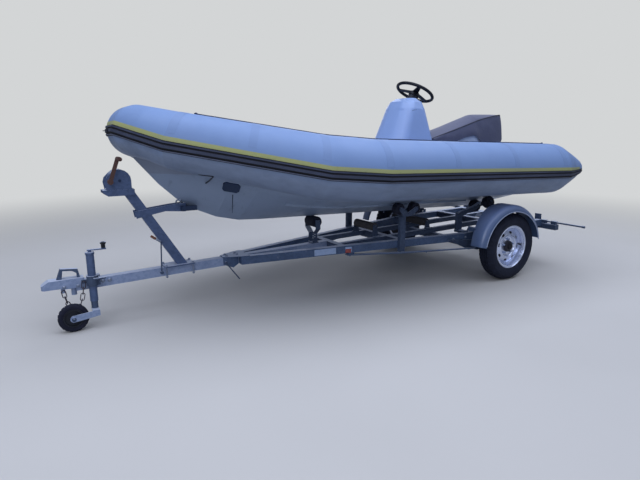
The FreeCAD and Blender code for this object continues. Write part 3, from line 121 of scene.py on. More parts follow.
# %% [markdown]
# A real surface is one colour with layers on it: dust, streaks, scuffs. A finish here is a principled shader
# that gets its layers one by one, and some layers paint sky light on tops and shade underneath. Every
# pattern has a size in millimetres and rides

# %%
# Colours and one function that adds a node


def linear(code):
    """An sRGB hex colour as linear RGBA."""
    parts = [int(code[i:i + 2], 16) / 255 for i in (1, 3, 5)]
    return tuple(c / 12.92 if c <= 0.04045 else ((c + 0.055) / 1.055) ** 2.4 for c in parts) + (1.0,)


def add_node(tree, kind, output, inputs, **settings):
    """Add a node with its settings, set or link its inputs, and give one of its outputs."""
    node = tree.nodes.new(kind)
    for key, value in settings.items():
        setattr(node, key, value)
    for key, value in inputs.items():
        if isinstance(value, bpy.types.NodeSocket):
            tree.links.new(value, node.inputs[key])
        else:
            node.inputs[key].default_value = value
    return node.outputs[output]


# %%
# A finish and its layers
even = (1, 1, 1)


class Finish:
    """A principled material that is built up layer by layer."""

    def __init__(self, name, colour, roughness, metallic=0.0, coat=0.0, specular=0.5, sheen=0.0):
        self.material = bpy.data.materials.new(name)
        self.material.use_nodes = True
        self.tree = self.material.node_tree
        self.shader = self.tree.nodes["Principled BSDF"]
        self.coords = add_node(self.tree, "ShaderNodeTexCoord", "Object", {})
        self.colour, self.roughness, self.normal = linear(colour), roughness, None
        plain = {"Base Color": self.colour, "Roughness": roughness, "Metallic": metallic,
                 "Coat Weight": coat, "Coat Roughness": 0.2, "Specular IOR Level": specular,
                 "Sheen Weight": sheen}
        for key, value in plain.items():
            self.shader.inputs[key].default_value = value

    def pattern(self, kind, output, size, stretch=even, offset=0.0, **inputs):
        """A pattern whose patches are of a size in millimetres."""
        place = add_node(self.tree, "ShaderNodeMapping", "Vector", {
            "Vector": self.coords, "Scale": [s * 1000 / size for s in stretch],
            "Location": (offset, offset * 1.7, offset * 0.6)})
        return add_node(self.tree, kind, output, {"Vector": place, "Scale": 1.0, **inputs})

    def clouds(self, size, detail=4.0, grain=0.55, stretch=even, offset=0.0):
        """Soft uneven patches, as dust and wear lie."""
        return self.pattern("ShaderNodeTexNoise", "Fac", size, stretch, offset,
                            Detail=detail, Roughness=grain)

    def between(self, source, low, high):
        """0 at the low value of the source, 1 at the high one."""
        return add_node(self.tree, "ShaderNodeMapRange", "Result", {
            "Value": source, "From Min": low, "From Max": high})

    def upward(self, low=0.55, high=0.9):
        """A mask for surfaces by how far they face up, or with its ends swapped, how far they face down. It
        paints sky light and shade on tops and undersides, and places the tube's darker underside blotches.
        """
        normal = add_node(self.tree, "ShaderNodeNewGeometry", "Normal", {})
        slope = add_node(self.tree, "ShaderNodeSeparateXYZ", "Z", {"Vector": normal})
        return self.between(slope, low, high)

    def maths(self, operation, a, b):
        """Two masks or numbers put together."""
        return add_node(self.tree, "ShaderNodeMath", "Value", {0: a, 1: b}, operation=operation)

    def bounced(self):
        """One for light that bounces off, nought for what the camera or a mirror sees."""
        seen = [add_node(self.tree, "ShaderNodeLightPath", name, {})
                for name in ("Is Camera Ray", "Is Glossy Ray")]
        return self.maths("SUBTRACT", 1.0, self.maths("MAXIMUM", *seen))

    def tint(self, mask, code, strength=1.0):
        """Mix a colour in where the mask is 1."""
        share = self.maths("MULTIPLY", mask, strength)
        self.colour = add_node(self.tree, "ShaderNodeMix", 2, {
            "Factor": share, 6: self.colour, 7: linear(code)}, data_type="RGBA")

    def stain(self, size, detail, grain, low, high, code, strength, stretch=even, offset=0.0):
        """Tint in cloudy patches."""
        self.tint(self.between(self.clouds(size, detail, grain, stretch, offset), low, high), code, strength)

    def wear(self, size, low, roughness):
        """Dull or polish in cloudy patches."""
        mask = self.between(self.clouds(size), low, 0.7)
        self.roughness = add_node(self.tree, "ShaderNodeMix", 0, {
            "Factor": mask, 2: self.roughness, 3: roughness}, data_type="FLOAT")

    def relief(self, source, depth, strength):
        """Raise the surface by a depth in millimetres where the source is 1."""
        inputs = {"Strength": strength, "Distance": depth / 1000, "Height": source}
        if self.normal is not None:
            inputs["Normal"] = self.normal
        self.normal = add_node(self.tree, "ShaderNodeBump", "Normal", inputs)

    def done(self):
        """The material, with the layers that were made linked to its shader."""
        layers = {"Base Color": self.colour, "Roughness": self.roughness, "Normal": self.normal}
        for key, value in layers.items():
            if isinstance(value, bpy.types.NodeSocket):
                self.tree.links.new(value, self.shader.inputs[key])
        return self.material


def finish(name, colour, roughness, stains, relief=(), **plain):
    """A finish of stains and one relief: size, detail, depth, strength, and its grain and stretch."""
    f = Finish(name, colour, roughness, **plain)
    for row in stains:
        f.stain(*row)
    if relief:
        size, detail, depth, strength, *shape = relief
        f.relief(f.clouds(size, detail, *shape), depth, strength)
    return f.done()


# %% [markdown]
# The tube is calendered rubber on woven polyester. Its blue stands in for sky light on the cloth, and the
# faces that look down are tinted grey for the greyer light under the tube: both are painted light. It also
# gets darker blotches on the faces that look down, speckles where grit was thrown up, and a faint coat. The
# joint tapes are the same cloth, a shade darker.

# %%
# Coated polyester of the tube: matt and soft, with a slow unevenness of the skin


def tube_fabric(name, colour, dark):
    f = Finish(name, colour, 0.52, coat=0.05, specular=0.4)
    f.stain(260, 5, 0.6, 0.45, 0.75, dark, 0.35)
    # Painted light: faces that look down are tinted grey, for the greyer light under the tube
    f.tint(f.upward(0.1, -0.5), "#8b95a4", 0.75)
    # Darker blotches on the faces that look down
    underside_blotches = f.between(f.clouds(110, 5, 0.65, (0.35, 1, 1)), 0.4, 0.75)
    f.tint(f.maths("MULTIPLY", f.upward(0.2, -0.3), underside_blotches), "#5f6a78", 0.5)
    f.stain(7, 4, 0.7, 0.70, 0.76, "#4e586a", 0.35, even, 3.0)
    f.wear(90, 0.4, 0.66)
    f.relief(f.clouds(420, 3, 0.5), 5.0, 0.3)
    f.relief(f.clouds(1.4, 2, 0.5), 0.2, 0.3)
    return f.done()


tube_blue = tube_fabric("tube_fabric", "#7f9ac6", "#738cb8")
tube_tape = tube_fabric("tube_tape", "#7b95c0", "#7088b2")

# %%
# Extruded rubber of the strake: dull, scuffed along its length, black in the grooves and pale on the ribs
strake_rubber = finish("strake_rubber", "#3f4558", 0.62, [
    (120, 4, 0.6, 0.4, 0.75, "#5a6178", 0.55, (0.4, 1, 1)),
    (14, 3, 0.6, 0.55, 0.75, "#2b2d35", 0.4)], (5, 3, 0.35, 0.4), specular=0.35)
# Painted shade: black for the shade in the grooves and at the edges
groove_painted_shade = finish("groove_painted_shade", "#14151d", 0.7, [
    (60, 4, 0.6, 0.5, 0.8, "#262833", 0.5, (0.3, 1, 1))], (5, 3, 0.2, 0.4), specular=0.3)
# Painted highlight: a pale line along the lower rib
rib_painted_highlight = finish("rib_painted_highlight", "#747a8c", 0.66, [
    (90, 5, 0.65, 0.4, 0.7, "#525a6e", 0.8, (0.3, 1, 1))], (5, 3, 0.3, 0.4), specular=0.3)

# Vinyl of the stripe: a faded yellow with a low sheen
stripe_vinyl = finish("stripe_vinyl", "#b0b374", 0.5, [
    (180, 4, 0.6, 0.42, 0.7, "#a2a584", 0.7, (0.3, 1, 1)),
    (24, 3, 0.55, 0.58, 0.78, "#77805f", 0.35)], (8, 2, 0.15, 0.3), specular=0.4)

# %% [markdown]
# Hull, console and seat are glass fibre with a gelcoat, sprayed into a polished mould. It stays glossy
# for years but goes chalky and streaked where water runs off, so the shine is broken up in patches and
# the hull gets tall thin streaks.

# %%
# Moulded gelcoat: a clear shine over a slightly wavy skin


def gelcoat(name, colour, stain, strength, streak=0.0):
    f = Finish(name, colour, 0.34, coat=0.25)
    f.stain(300, 5, 0.6, 0.45, 0.72, stain, strength)
    f.stain(40, 4, 0.65, 0.55, 0.8, stain, strength * 0.6, (1, 1, 0.2), 5.0)
    if streak:
        f.stain(55, 3, 0.6, 0.6, 0.75, "#4a5563", streak, (1, 0.6, 0.08), 9.0)
    f.wear(110, 0.4, 0.5)
    f.relief(f.clouds(70, 2), 0.6, 0.25)
    return f.done()


hull_gel = gelcoat("hull_gelcoat", "#97a6bb", "#8492a6", 0.45, 0.35)
flange_gel = gelcoat("flange_gelcoat", "#8f98a8", "#7a8394", 0.4)
console_gel = gelcoat("console_gelcoat", "#92acdb", "#869fcb", 0.35)
sole_gel = gelcoat("sole_gelcoat", "#8b97ad", "#6f7a8c", 0.6)
seat_gel = gelcoat("seat_gelcoat", "#b9c6dc", "#9daac2", 0.3)

# %% [markdown]
# The trailer is mild steel dipped in molten zinc. The zinc freezes in crystals about 16 mm across, goes dull
# in the rain and lets a little rust through. A metal shader alone would look like chrome, so most of it is
# bloom: crystals, and dark and pale patches. Its top is made pale as well, a painted reflection of the sky.

# %%
# Galvanised steel: dull crystals, a painted sky reflection on top, and a few rust marks


def zinc(name, colour, dark, rust, metallic=0.35, roughness=0.5):
    f = Finish(name, colour, roughness, metallic=metallic)
    crystals = f.pattern("ShaderNodeTexVoronoi", "Color", 16)
    grey = add_node(f.tree, "ShaderNodeRGBToBW", "Val", {"Color": crystals})
    f.tint(f.between(grey, 0.35, 0.8), dark, 0.38)
    f.stain(130, 5, 0.65, 0.5, 0.72, dark, 0.6)
    f.stain(45, 5, 0.7, 0.62, 0.8, "#c3cad6", 0.35, even, 4.0)
    f.stain(30, 6, 0.7, 0.66, 0.76, "#6b4a36", rust, even, 8.0)
    # Painted reflection: faces that look up are made pale, as the sky shows in them
    f.tint(f.upward(), "#d6deee", 0.85)
    f.wear(25, 0.35, roughness + 0.18)
    f.relief(f.clouds(11, 4), 0.3, 0.35)
    return f.done()


zinc_bright = zinc("zinc_bright", "#9aa9c6", "#7487ab", 0.10)
# A darker copy of the bright zinc: painted shade for the beams, stays and tabs under the boat and guards
zinc_painted_shade = zinc("zinc_painted_shade", "#4f6383", "#3a4b66", 0.10, 0.2)
zinc_dark = zinc("zinc_dark", "#4b5a73", "#37445b", 0.2, 0.2, 0.55)
zinc_post = zinc("zinc_post", "#55678a", "#41516f", 0.12, 0.2)
zinc_plain = zinc("zinc_bolts", "#8d98aa", "#6c7890", 0.3, 0.5, 0.42)

# Bare steel that has rusted through: rough, brown and pitted
rusty = finish("rusty_steel", "#5c4038", 0.75, [
    (12, 5, 0.7, 0.45, 0.7, "#3a2b2c", 0.7),
    (6, 4, 0.7, 0.6, 0.75, "#7f5a48", 0.5, even, 2.0)], (4, 4, 0.5, 0.6), metallic=0.1)

# Steel of the chain: dark, rubbed bright in places and brown in others
chain_steel = finish("chain_steel", "#3e3d48", 0.55, [
    (14, 5, 0.7, 0.5, 0.68, "#6a4a40", 0.8)], (4, 3, 0.3, 0.5), metallic=0.5)

# %% [markdown]
# Tyres, rollers and grips are moulded rubber or plastic. New they would be black, but these carry road
# dust, which a low shine and two layers of dust give. One function makes them all, because they differ
# only in colour, dust and the fineness of their grain.

# %%
# Moulded rubber and plastic: nearly no shine, with dust in the grain


def rubber(name, colour, dust, strength, roughness=0.78, grain=3.0):
    return finish(name, colour, roughness, [
        (70, 5, 0.65, 0.45, 0.75, dust, strength),
        (9, 3, 0.6, 0.6, 0.8, dust, strength * 0.5)], (grain, 3, 0.3, 0.45), specular=0.3)


tyre_rubber = rubber("tyre_rubber", "#1b2030", "#343a4c", 0.4)
roller_rubber = rubber("roller_rubber", "#1e2130", "#363746", 0.4)
roller_brown = rubber("roller_polyurethane", "#54504f", "#3b3a40", 0.5, 0.7)
block_rubber = rubber("block_rubber", "#20242f", "#3c414e", 0.35)
black_plastic = rubber("black_plastic", "#20232c", "#3a3e4a", 0.25, 0.55, 1.5)
# A pale rubber for the mudguards' bead: a painted highlight on their lip
guard_lip_highlight = rubber("guard_lip_highlight", "#aeb9cf", "#8794ae", 0.4, 0.4, 2.0)
grip_black = rubber("grip_black", "#14161d", "#2a2c36", 0.2, 0.5, 1.2)
plate_dark = rubber("plate_plastic", "#2a3a56", "#1f2c44", 0.4, 0.45, 2.0)
rope_navy = rubber("rope_fibre", "#2b3350", "#4a5370", 0.4, 0.9, 2.2)
jockey_rubber = rubber("jockey_rubber", "#1a1c2c", "#313448", 0.4, 0.8)

# %%
# Vacuum-formed plastic of the mudguards: glossy, and paler on top, a painted highlight
f = Finish("guard_plastic", "#52678a", 0.3, specular=0.6, coat=0.35)
f.stain(120, 5, 0.65, 0.45, 0.75, "#4c5e7d", 0.5)
# Painted highlight: faces that look up are made paler
f.tint(f.upward(0.1, 0.8), "#8ea2cf", 0.7)
f.stain(18, 4, 0.7, 0.66, 0.76, "#3c4a63", 0.4, even, 5.0)
f.relief(f.clouds(2.0, 3), 0.15, 0.3)
guard_plastic = f.done()

# Silver enamel of the wheels, with brake dust and chips
wheel_paint = finish("wheel_paint", "#d3dcf2", 0.27, [
    (60, 5, 0.65, 0.45, 0.75, "#8f9ab6", 0.4),
    (16, 5, 0.7, 0.64, 0.76, "#5d4c4a", 0.45, even, 6.0)], (6, 3, 0.2, 0.3), metallic=0.8)

# Cast iron of the hub: dark, rough and rusty. The same dark also colours a plate of painted shade behind the
# wheel's vents
hub_iron_and_painted_shade = finish("hub_iron_and_painted_shade", "#23252f", 0.55, [
    (14, 5, 0.7, 0.5, 0.7, "#4a3c3c", 0.6)], (5, 4, 0.4, 0.5), metallic=0.3)

# %%
# Printed film of the blank plates: smooth and pale
label_film = finish("label_film", "#a9bede", 0.4, [
    (30, 4, 0.55, 0.45, 0.7, "#8fa5c8", 0.5)], (20, 2, 0.2, 0.2))

# Acrylic of the reflectors: clear red over small prisms
f = Finish("reflector", "#a8392e", 0.18, coat=0.6)
f.tint(f.between(f.pattern("ShaderNodeTexVoronoi", "Color", 4), 0.3, 0.8), "#7c2a28", 0.6)
f.relief(f.pattern("ShaderNodeTexVoronoi", "Color", 4), 0.5, 0.5)
reflector = f.done()

# Pale nylon of caps and sleeves, and oiled beech of the lever's grip with its grain upright
pale_plastic = finish("clear_cap", "#cfd6e2", 0.3, [
    (10, 3, 0.55, 0.5, 0.7, "#a9b2c2", 0.5)], coat=0.3)
handle_wood = finish("handle_wood", "#8a5c46", 0.6, [
    (9, 4, 0.6, 0.4, 0.7, "#6b4436", 0.6, (1, 1, 0.15))], (5, 3, 0.2, 0.5, 0.6, (1, 1, 0.2)))

# Coated woven cloth of the seat's cover: matt navy, made grey on top as painted sky light, with a fine weave
f = Finish("cover_cloth", "#3c4059", 0.74, specular=0.25, sheen=0.25)
f.stain(140, 5, 0.6, 0.45, 0.7, "#50556c", 0.55)
# Painted light: faces that look up are made grey
f.tint(f.upward(0.5, 0.9), "#66687c", 0.75)
f.stain(20, 4, 0.6, 0.55, 0.78, "#353c5a", 0.4)
f.relief(f.clouds(34, 4, 0.55), 2.2, 0.5)
f.relief(f.clouds(1.6, 2, 0.5), 0.3, 0.4)
cover_cloth = f.done()
print(len(bpy.data.materials), "materials")

# %% [markdown]
# Each solid of the frame is one real part of one material, so dressing it is a matter of giving it that
# material. Its mesh isn't touched.

# %%
# Dress the solids


def dress(material, *names):
    for name in names:
        mesh = nodes[name].data
        mesh.materials.clear()
        mesh.materials.append(material)


dress(tube_blue, "buoyancy_tube", "stern_cones")
dress(tube_tape, "rope_patches")
dress(strake_rubber, "rubbing_strake")
dress(stripe_vinyl, "accent_stripe")
dress(rope_navy, "lifelines")
dress(hull_gel, "hull", "spray_rails", "transom")
dress(flange_gel, "bow_flange")
dress(sole_gel, "cockpit_sole")
dress(console_gel, "console")
dress(seat_gel, "seat_base")
dress(black_plastic, "helm_boss", "jockey_rim")
dress(grip_black, "steering_wheel")
dress(plate_dark, "hull_side_plates", "winch_drum")
dress(zinc_plain, "bow_eye")
dress(zinc_painted_shade, "side_beams", "junction_bracket", "mudguard_stays")
dress(zinc_bright, "drawbar", "coupling_head", "jack_fork")
dress(zinc_dark, "ladder_frame", "axle", "wide_roller_brackets", "cradle_arms", "keel_roller_bracket",
      "bilge_roller_posts", "jack_clamp", "rear_lamps", "coupling_grip", "jack_leg", "latch_levers")
dress(zinc_post, "winch_post", "winch_frame", "bow_stop_straps", "jack_outer_tube")
dress(chain_steel, "safety_chain")
dress(rusty, "winch_crank")
dress(block_rubber, "bow_stop_block")
dress(roller_rubber, "keel_roller", "port_fore_bilge_roller", "starboard_fore_bilge_roller",
      "port_aft_bilge_roller", "starboard_aft_bilge_roller", "port_cradle_rollers",
      "starboard_cradle_rollers")
dress(roller_brown, "front_wide_roller", "rear_wide_roller")
dress(guard_plastic, "mudguards")
dress(wheel_paint, "port_rim", "starboard_rim")
dress(tyre_rubber, "port_tyre", "starboard_tyre")
dress(jockey_rubber, "jockey_tyre")
dress(label_film, "beam_plates")
print("bare:", [name for name, node in nodes.items() if not node.data.materials])

# %% [markdown]
# Every piece below is made in its place and rides on the body whose solid it sits on, so it follows that
# body in each pose. Edges sharper than a limit stay crisp, and the rest is shaded smooth.

# %%
# Finish a mesh as a piece


def piece(name, bm, body, material, smooth_angle=35.0):
    """Make a bmesh an object that rides on a body."""
    bmesh.ops.recalc_face_normals(bm, faces=bm.faces)
    limit = math.radians(smooth_angle)
    for face in bm.faces:
        face.smooth = True
    for edge in bm.edges:
        if len(edge.link_faces) == 2 and edge.calc_face_angle(0) > limit:
            edge.smooth = False
    mesh = bpy.data.meshes.new(name)
    bm.to_mesh(mesh)
    bm.free()
    mesh.materials.append(material)
    obj = bpy.data.objects.new(name, mesh)
    scene.collection.objects.link(obj)
    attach(obj, body)
    print(name, len(mesh.polygons), "faces on", body)
    return obj


# %%
# Directions, angles and rows


def frame_along(direction):
    """A rotation that takes Z to the direction."""
    return Vector((0, 0, 1)).rotation_difference(Vector(direction)).to_matrix().to_4x4()


def turns(count):
    """Angles that share out a full turn."""
    return [2 * math.pi * k / count for k in range(count)]


def spread(a, b, count):
    """Numbers at even steps from a to b."""
    return [a + (b - a) * i / (count - 1) for i in range(count)]


def join_rows(bm, rows, ring=False, loop=False):
    """Faces between rows of vertices. A ring closes each row, a loop joins the last row to the first."""
    for a, b in zip(rows, rows[1:] + (rows[:1] if loop else [])):
        for k in range(len(a) if ring else len(a) - 1):
            j = (k + 1) % len(a)
            bm.faces.new((a[k], a[j], b[j], b[k]))


# %% [markdown]
# Fasteners are prisms: a disc of a few sides pulled up into a washer, a hexagon head or a stud. Turned
# parts are a profile spun about an axle, as on a lathe. Bars and ropes are a ring carried along a line.

# %%
# Prisms and bolts


def add_prism(bm, centre, direction, radius, height, count, bevel=0.0, spin=0.0):
    """A prism standing on the centre along the direction. Its top edge may be bevelled."""
    start = spin - math.pi / 2
    place = Matrix.Translation(centre) @ frame_along(direction) @ Matrix.Rotation(start, 4, "Z")
    ring = bmesh.ops.create_circle(bm, cap_ends=True, radius=radius, segments=count, matrix=place)["verts"]
    edges = list(dict.fromkeys(edge for v in ring for edge in v.link_edges))
    for rise, share in [(height - bevel, 1.0)] + ([(bevel, 1 - bevel / radius)] if bevel else []):
        made = bmesh.ops.extrude_edge_only(bm, edges=edges)["geom"]
        ring = [part for part in made if isinstance(part, bmesh.types.BMVert)]
        edges = [part for part in made if isinstance(part, bmesh.types.BMEdge) and part.is_boundary]
        pull = Matrix.Translation((0, 0, rise)) @ Matrix.Diagonal((share, share, 1, 1))
        bmesh.ops.transform(bm, matrix=place @ pull @ place.inverted(), verts=ring)
    bmesh.ops.contextual_create(bm, geom=edges)


def add_bolt(bm, centre, direction, size, plain=False):
    """A hexagon bolt of a thread size in millimetres. Unless it is plain it has a washer and a stud end."""
    d = Vector(direction).normalized()
    c = Vector(centre)
    s = size / 1000
    thick = 0.0 if plain else 0.16 * s + 0.0004
    if not plain:
        add_prism(bm, c, d, 1.1 * s, thick, 16, 0.0002)
    add_prism(bm, c + d * thick, d, 0.92 * s, 0.72 * s, 6, 0.12 * s, 0.3)
    if not plain:
        add_prism(bm, c + d * (thick + 0.72 * s), d, 0.46 * s, 0.35 * s, 10, 0.08 * s)


# %%
# Boxes, bars and turned parts


def add_box(bm, centre, half, turn, bevel):
    """A box about a centre with half sizes in metres, turned and with bevelled edges."""
    made = bmesh.ops.create_cube(bm, size=2.0)["verts"]
    place = Matrix.Translation(centre) @ turn.to_4x4() @ Matrix.Diagonal((*half, 1))
    bmesh.ops.transform(bm, matrix=place, verts=made)
    edges = list(dict.fromkeys(edge for v in made for edge in v.link_edges))
    bmesh.ops.bevel(bm, geom=edges, offset=bevel, segments=2, affect="EDGES", profile=0.5, material=-1)


def add_tube(bm, points, radius, count=10, closed=False):
    """A round bar along points. Its radius is one number, or a list with one for each point."""
    points = [Vector(p) for p in points]
    rings = []
    normal = None
    for i, p in enumerate(points):
        before = points[i - 1] if i or closed else p
        after = points[(i + 1) % len(points)] if i + 1 < len(points) or closed else p
        along = (after - before).normalized()
        if normal is None:
            normal = along.orthogonal().normalized()
        normal = (normal - along * normal.dot(along)).normalized()
        side = along.cross(normal)
        r = radius[i] if isinstance(radius, list) else radius
        rings.append([bm.verts.new(p + (normal * math.cos(a) + side * math.sin(a)) * r)
                      for a in turns(count)])
    join_rows(bm, rings, ring=True, loop=closed)
    if not closed:
        bm.faces.new(rings[0][::-1])
        bm.faces.new(rings[-1])


def lathe(bm, profile, centre, steps, side=1, axis=(0, 1, 0)):
    """Spin a profile of (radius, offset) in metres about an axis through the centre."""
    place = Matrix.Translation(centre) @ frame_along(axis)
    verts = [bm.verts.new(place @ Vector((r, 0, side * h))) for r, h in profile]
    edges = [bm.edges.new(pair) for pair in zip(verts, verts[1:])]
    bmesh.ops.spin(bm, geom=verts + edges, cent=centre, axis=axis, dvec=(0, 0, 0), angle=2 * math.pi,
                   steps=steps, use_merge=True, use_duplicate=False)
    bmesh.ops.remove_doubles(bm, verts=bm.verts, dist=1e-5)


def mirrored(half):
    """A profile from its outer half."""
    return half + [(r, -h) for r, h in reversed(half)]


# %%
# Copies of meshes and places on them


def mesh_copy(obj):
    """A bmesh with an object's mesh."""
    bm = bmesh.new()
    bm.from_mesh(obj.data)
    return bm


def surface_tree(obj):
    """An object's surface, in which the nearest place is quickly found."""
    source = mesh_copy(obj)
    tree = BVHTree.FromBMesh(source)
    source.free()
    return tree


def on_surface(obj, points, lift):
    """Points moved onto an object's surface and raised from it, with the surface's directions."""
    tree = surface_tree(obj)
    return [(place + normal * lift, normal) for place, normal, _, _ in map(tree.find_nearest, points)]


# %% [markdown]
# An inflatable tube is made of cloth cylinders cut at an angle and glued end to end, so it bends at
# joints and not in a curve. The drawing has one ring at each joint. A place on the skin is then a run
# between two joints, a share of that run, and an angle round the tube from its outer side.

# %%
# The tube's joints: place along the boat, half width, height and radius, from the stern to the nose
port_joints = [(440.0, 710.0, 915.0, 207.0), (-1430.0, 710.0, 915.0, 207.0), (-1800.0, 640.0, 935.0, 207.0),
               (-2660.0, 345.0, 1085.0, 173.0), (-2748.0, 227.0, 1118.0, 161.0),
               (-2813.0, 82.0, 1138.0, 161.0)]
centres = [Vector((x, -y, z)) for x, y, z, r in port_joints]
centres += [Vector((c.x, -c.y, c.z)) for c in reversed(centres)]
radii = [joint[3] for joint in port_joints]
radii += radii[::-1]
runs = [(b - a).normalized() for a, b in zip(centres, centres[1:])]
last_run = len(runs) - 1
print(len(runs), "runs,", round(sum((b - a).length for a, b in zip(centres, centres[1:]))), "mm of tube")

# %%
# Points on the tube's skin
skin_gap = 0.1


def joint_point(index, angle, radius):
    """A point round a joint, on the mitre between its two runs."""
    before = runs[max(index - 1, 0)]
    after = runs[min(index, last_run)]
    outward = before.cross(Vector((0, 0, 1))).normalized() * -1
    upward = before.cross(outward).normalized()
    if upward.z < 0:
        upward = upward * -1
    spoke = outward * math.cos(math.radians(angle)) + upward * math.sin(math.radians(angle))
    plane = before + after
    spoke = spoke - before * (spoke.dot(plane) / before.dot(plane))
    return centres[index] + spoke * radius


def skin(run, share, angle, lift):
    """A point of the tube's skin on a run, raised by a lift in millimetres."""
    a = joint_point(run, angle, radii[run] + lift)
    b = joint_point(run + 1, angle, radii[run + 1] + lift)
    return on_boat(*a.lerp(b, share))


def add_skin_patch(bm, stations, angles, lift):
    """A thin bonded patch over the skin. stations are (run, share), and angles run round the tube."""
    top, low = [[[bm.verts.new(skin(run, share, a, height)) for a in angles] for run, share in stations]
                for height in (lift, skin_gap)]
    join_rows(bm, top)
    for i in (0, -1):
        join_rows(bm, [top[i], low[i]])
        join_rows(bm, [[row[i] for row in top], [row[i] for row in low]])


# %% [markdown]
# Where two pieces of the tube's cloth meet, a tape 48 mm wide is glued over the joint. The tapes could be
# bump, but their edges catch the light, so each is a patch about a millimetre proud of the skin.

# %%
# Seam tapes round the tube and along its inner side
tape_lift, long_tape_lift = 1.1, 1.2
half_tape = 24.0
around = {0: spread(9, 337, 44), 1: spread(9, 337, 44), 2: spread(13, 338, 44)}
bm = bmesh.new()
for run, share in ((0, 0.04), (0, 0.36), (0, 0.69), (1, 0.04), (2, 0.04), (2, 0.5), (2, 0.97)):
    for r, s in ((run, share), (last_run - run, 1 - share)):
        d = half_tape / (centres[r + 1] - centres[r]).length
        add_skin_patch(bm, [(r, s - d), (r, s + d)], around[run], tape_lift)
piece("tube_seams", bm, HULL, tube_tape)

stations = [(run, share) for run in range(len(runs)) for share in (0.0, 0.25, 0.5, 0.75)]
bm = bmesh.new()
add_skin_patch(bm, stations + [(last_run, 1.0)], spread(186, 196, 4), long_tape_lift)
piece("tube_long_seams", bm, HULL, tube_tape)

# %% [markdown]
# The road tyre is a 145 mm wide car tyre. Its section is spun about the axle, and then the outer rows are
# pushed in at every few steps: that gives the blocks of the shoulder and the sipes of the tread, which
# a bump could not show against the sky.

# %%
# Section and blocks of the road tyre
wheel_x, wheel_y, wheel_z = -15.0, 700.0, 281.0
tyre_steps = 192
tyre_profile = mirrored([
    (0.1655, 0.0460), (0.1720, 0.0480), (0.1812, 0.0485), (0.1826, 0.0555), (0.1870, 0.0590),
    (0.1960, 0.0640), (0.2080, 0.0690), (0.2200, 0.0718), (0.2320, 0.0716), (0.2420, 0.0692),
    (0.2440, 0.0698), (0.2470, 0.0692), (0.2490, 0.0668), (0.2580, 0.0622), (0.2660, 0.0562),
    (0.2715, 0.0500), (0.2750, 0.0440), (0.2775, 0.0385), (0.2788, 0.0345), (0.2725, 0.0335),
    (0.2725, 0.0275), (0.2800, 0.0265), (0.2808, 0.0125), (0.2735, 0.0115), (0.2735, 0.0055),
    (0.2810, 0.0045)])


def tyre_notch(step, row):
    """How deep the tyre is cut: between shoulder blocks, and by the sipes of the outer and middle ribs."""
    row = min(row, len(tyre_profile) - 1 - row)
    if 13 <= row <= 17 and step % 4 == 0:
        return 0.0055
    if 20 <= row <= 22 and step % 4 == 2:
        return 0.004
    if row == 25 and step % 8 == 1:
        return 0.003
    return 0.0


def cut_notches(bm, profile, centre, steps, depth_at):
    """Push a spun tread in by what depth_at says for a step round the axle and a row of the profile."""
    rows = {(round(r, 4), round(h, 4)): k for k, (r, h) in enumerate(profile)}
    place = Matrix.Translation(centre) @ frame_along((0, 1, 0))
    back = place.inverted()
    for v in bm.verts:
        x, y, h = back @ v.co
        r = math.hypot(x, y)
        step = round(math.atan2(y, x) / (2 * math.pi) * steps) % steps
        left = 1 - depth_at(step, rows[(round(r, 4), round(h, 4))]) / r
        v.co = place @ Vector((x * left, y * left, h))


# %%
# Road tyres, wheel bolts, dust caps and valves
bolt_circle, disc_face = 0.0600, 0.0122
cap_dome = [(0.0, 0.0520), (0.010, 0.0515), (0.018, 0.050), (0.0235, 0.0465), (0.0265, 0.042),
            (0.0272, 0.037), (0.0272, 0.032)]


def road_wheel(side, name):
    body = name + "_road_wheel"
    centre = at(wheel_x, side * wheel_y, wheel_z)
    bm = bmesh.new()
    lathe(bm, tyre_profile, centre, tyre_steps)
    cut_notches(bm, tyre_profile, centre, tyre_steps, tyre_notch)
    obj = piece(name + "_tread", bm, body, tyre_rubber, 30)
    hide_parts(name + "_tyre")
    bm = bmesh.new()
    out = Vector((0, side, 0))
    for k in range(5):
        angle = math.radians(72 * k + 18)
        spoke = Vector((math.cos(angle) * bolt_circle, side * disc_face, math.sin(angle) * bolt_circle))
        spot = centre + spoke
        add_prism(bm, spot, out, 0.0115, 0.003, 20, 0.001)
        add_prism(bm, spot + out * 0.003, out, 0.0092, 0.013, 6, 0.002, angle)
    piece(name + "_wheel_bolts", bm, body, zinc_bright)
    bm = bmesh.new()
    lathe(bm, cap_dome, centre, 40, side)
    piece(name + "_dust_cap", bm, body, grip_black)
    bm = bmesh.new()
    spot = centre + Vector((0.146, side * 0.0045, 0.0))
    lean = Vector((-0.35, side, 0)).normalized()
    stem = [spot + lean * d for d in (-0.014, 0.010, 0.014, 0.034)]
    add_tube(bm, stem, [0.0065, 0.0055, 0.0036, 0.0036], 12)
    add_prism(bm, spot + lean * 0.030, lean, 0.0048, 0.010, 12, 0.001)
    piece(name + "_valve", bm, body, grip_black)


wheel_sides = ((-1, "port"), (1, "starboard"))
for side, name in wheel_sides:
    road_wheel(side, name)

# %% [markdown]
# The castor wheel under the jack has a soft tyre with a slanting tread. It is spun like the road tyre,
# and each row of it is cut one step later than the row before, which makes the slant.

# %%
# Castor wheel's tread
castor_x, castor_y, castor_z = -3274.0, -90.0, 89.0
castor_steps = 160
castor_profile = mirrored([
    (0.0592, 0.0160), (0.0610, 0.0190), (0.0720, 0.0215), (0.0780, 0.0218), (0.0820, 0.0205),
    (0.0860, 0.0165), (0.0885, 0.0110), (0.0890, 0.0025)])


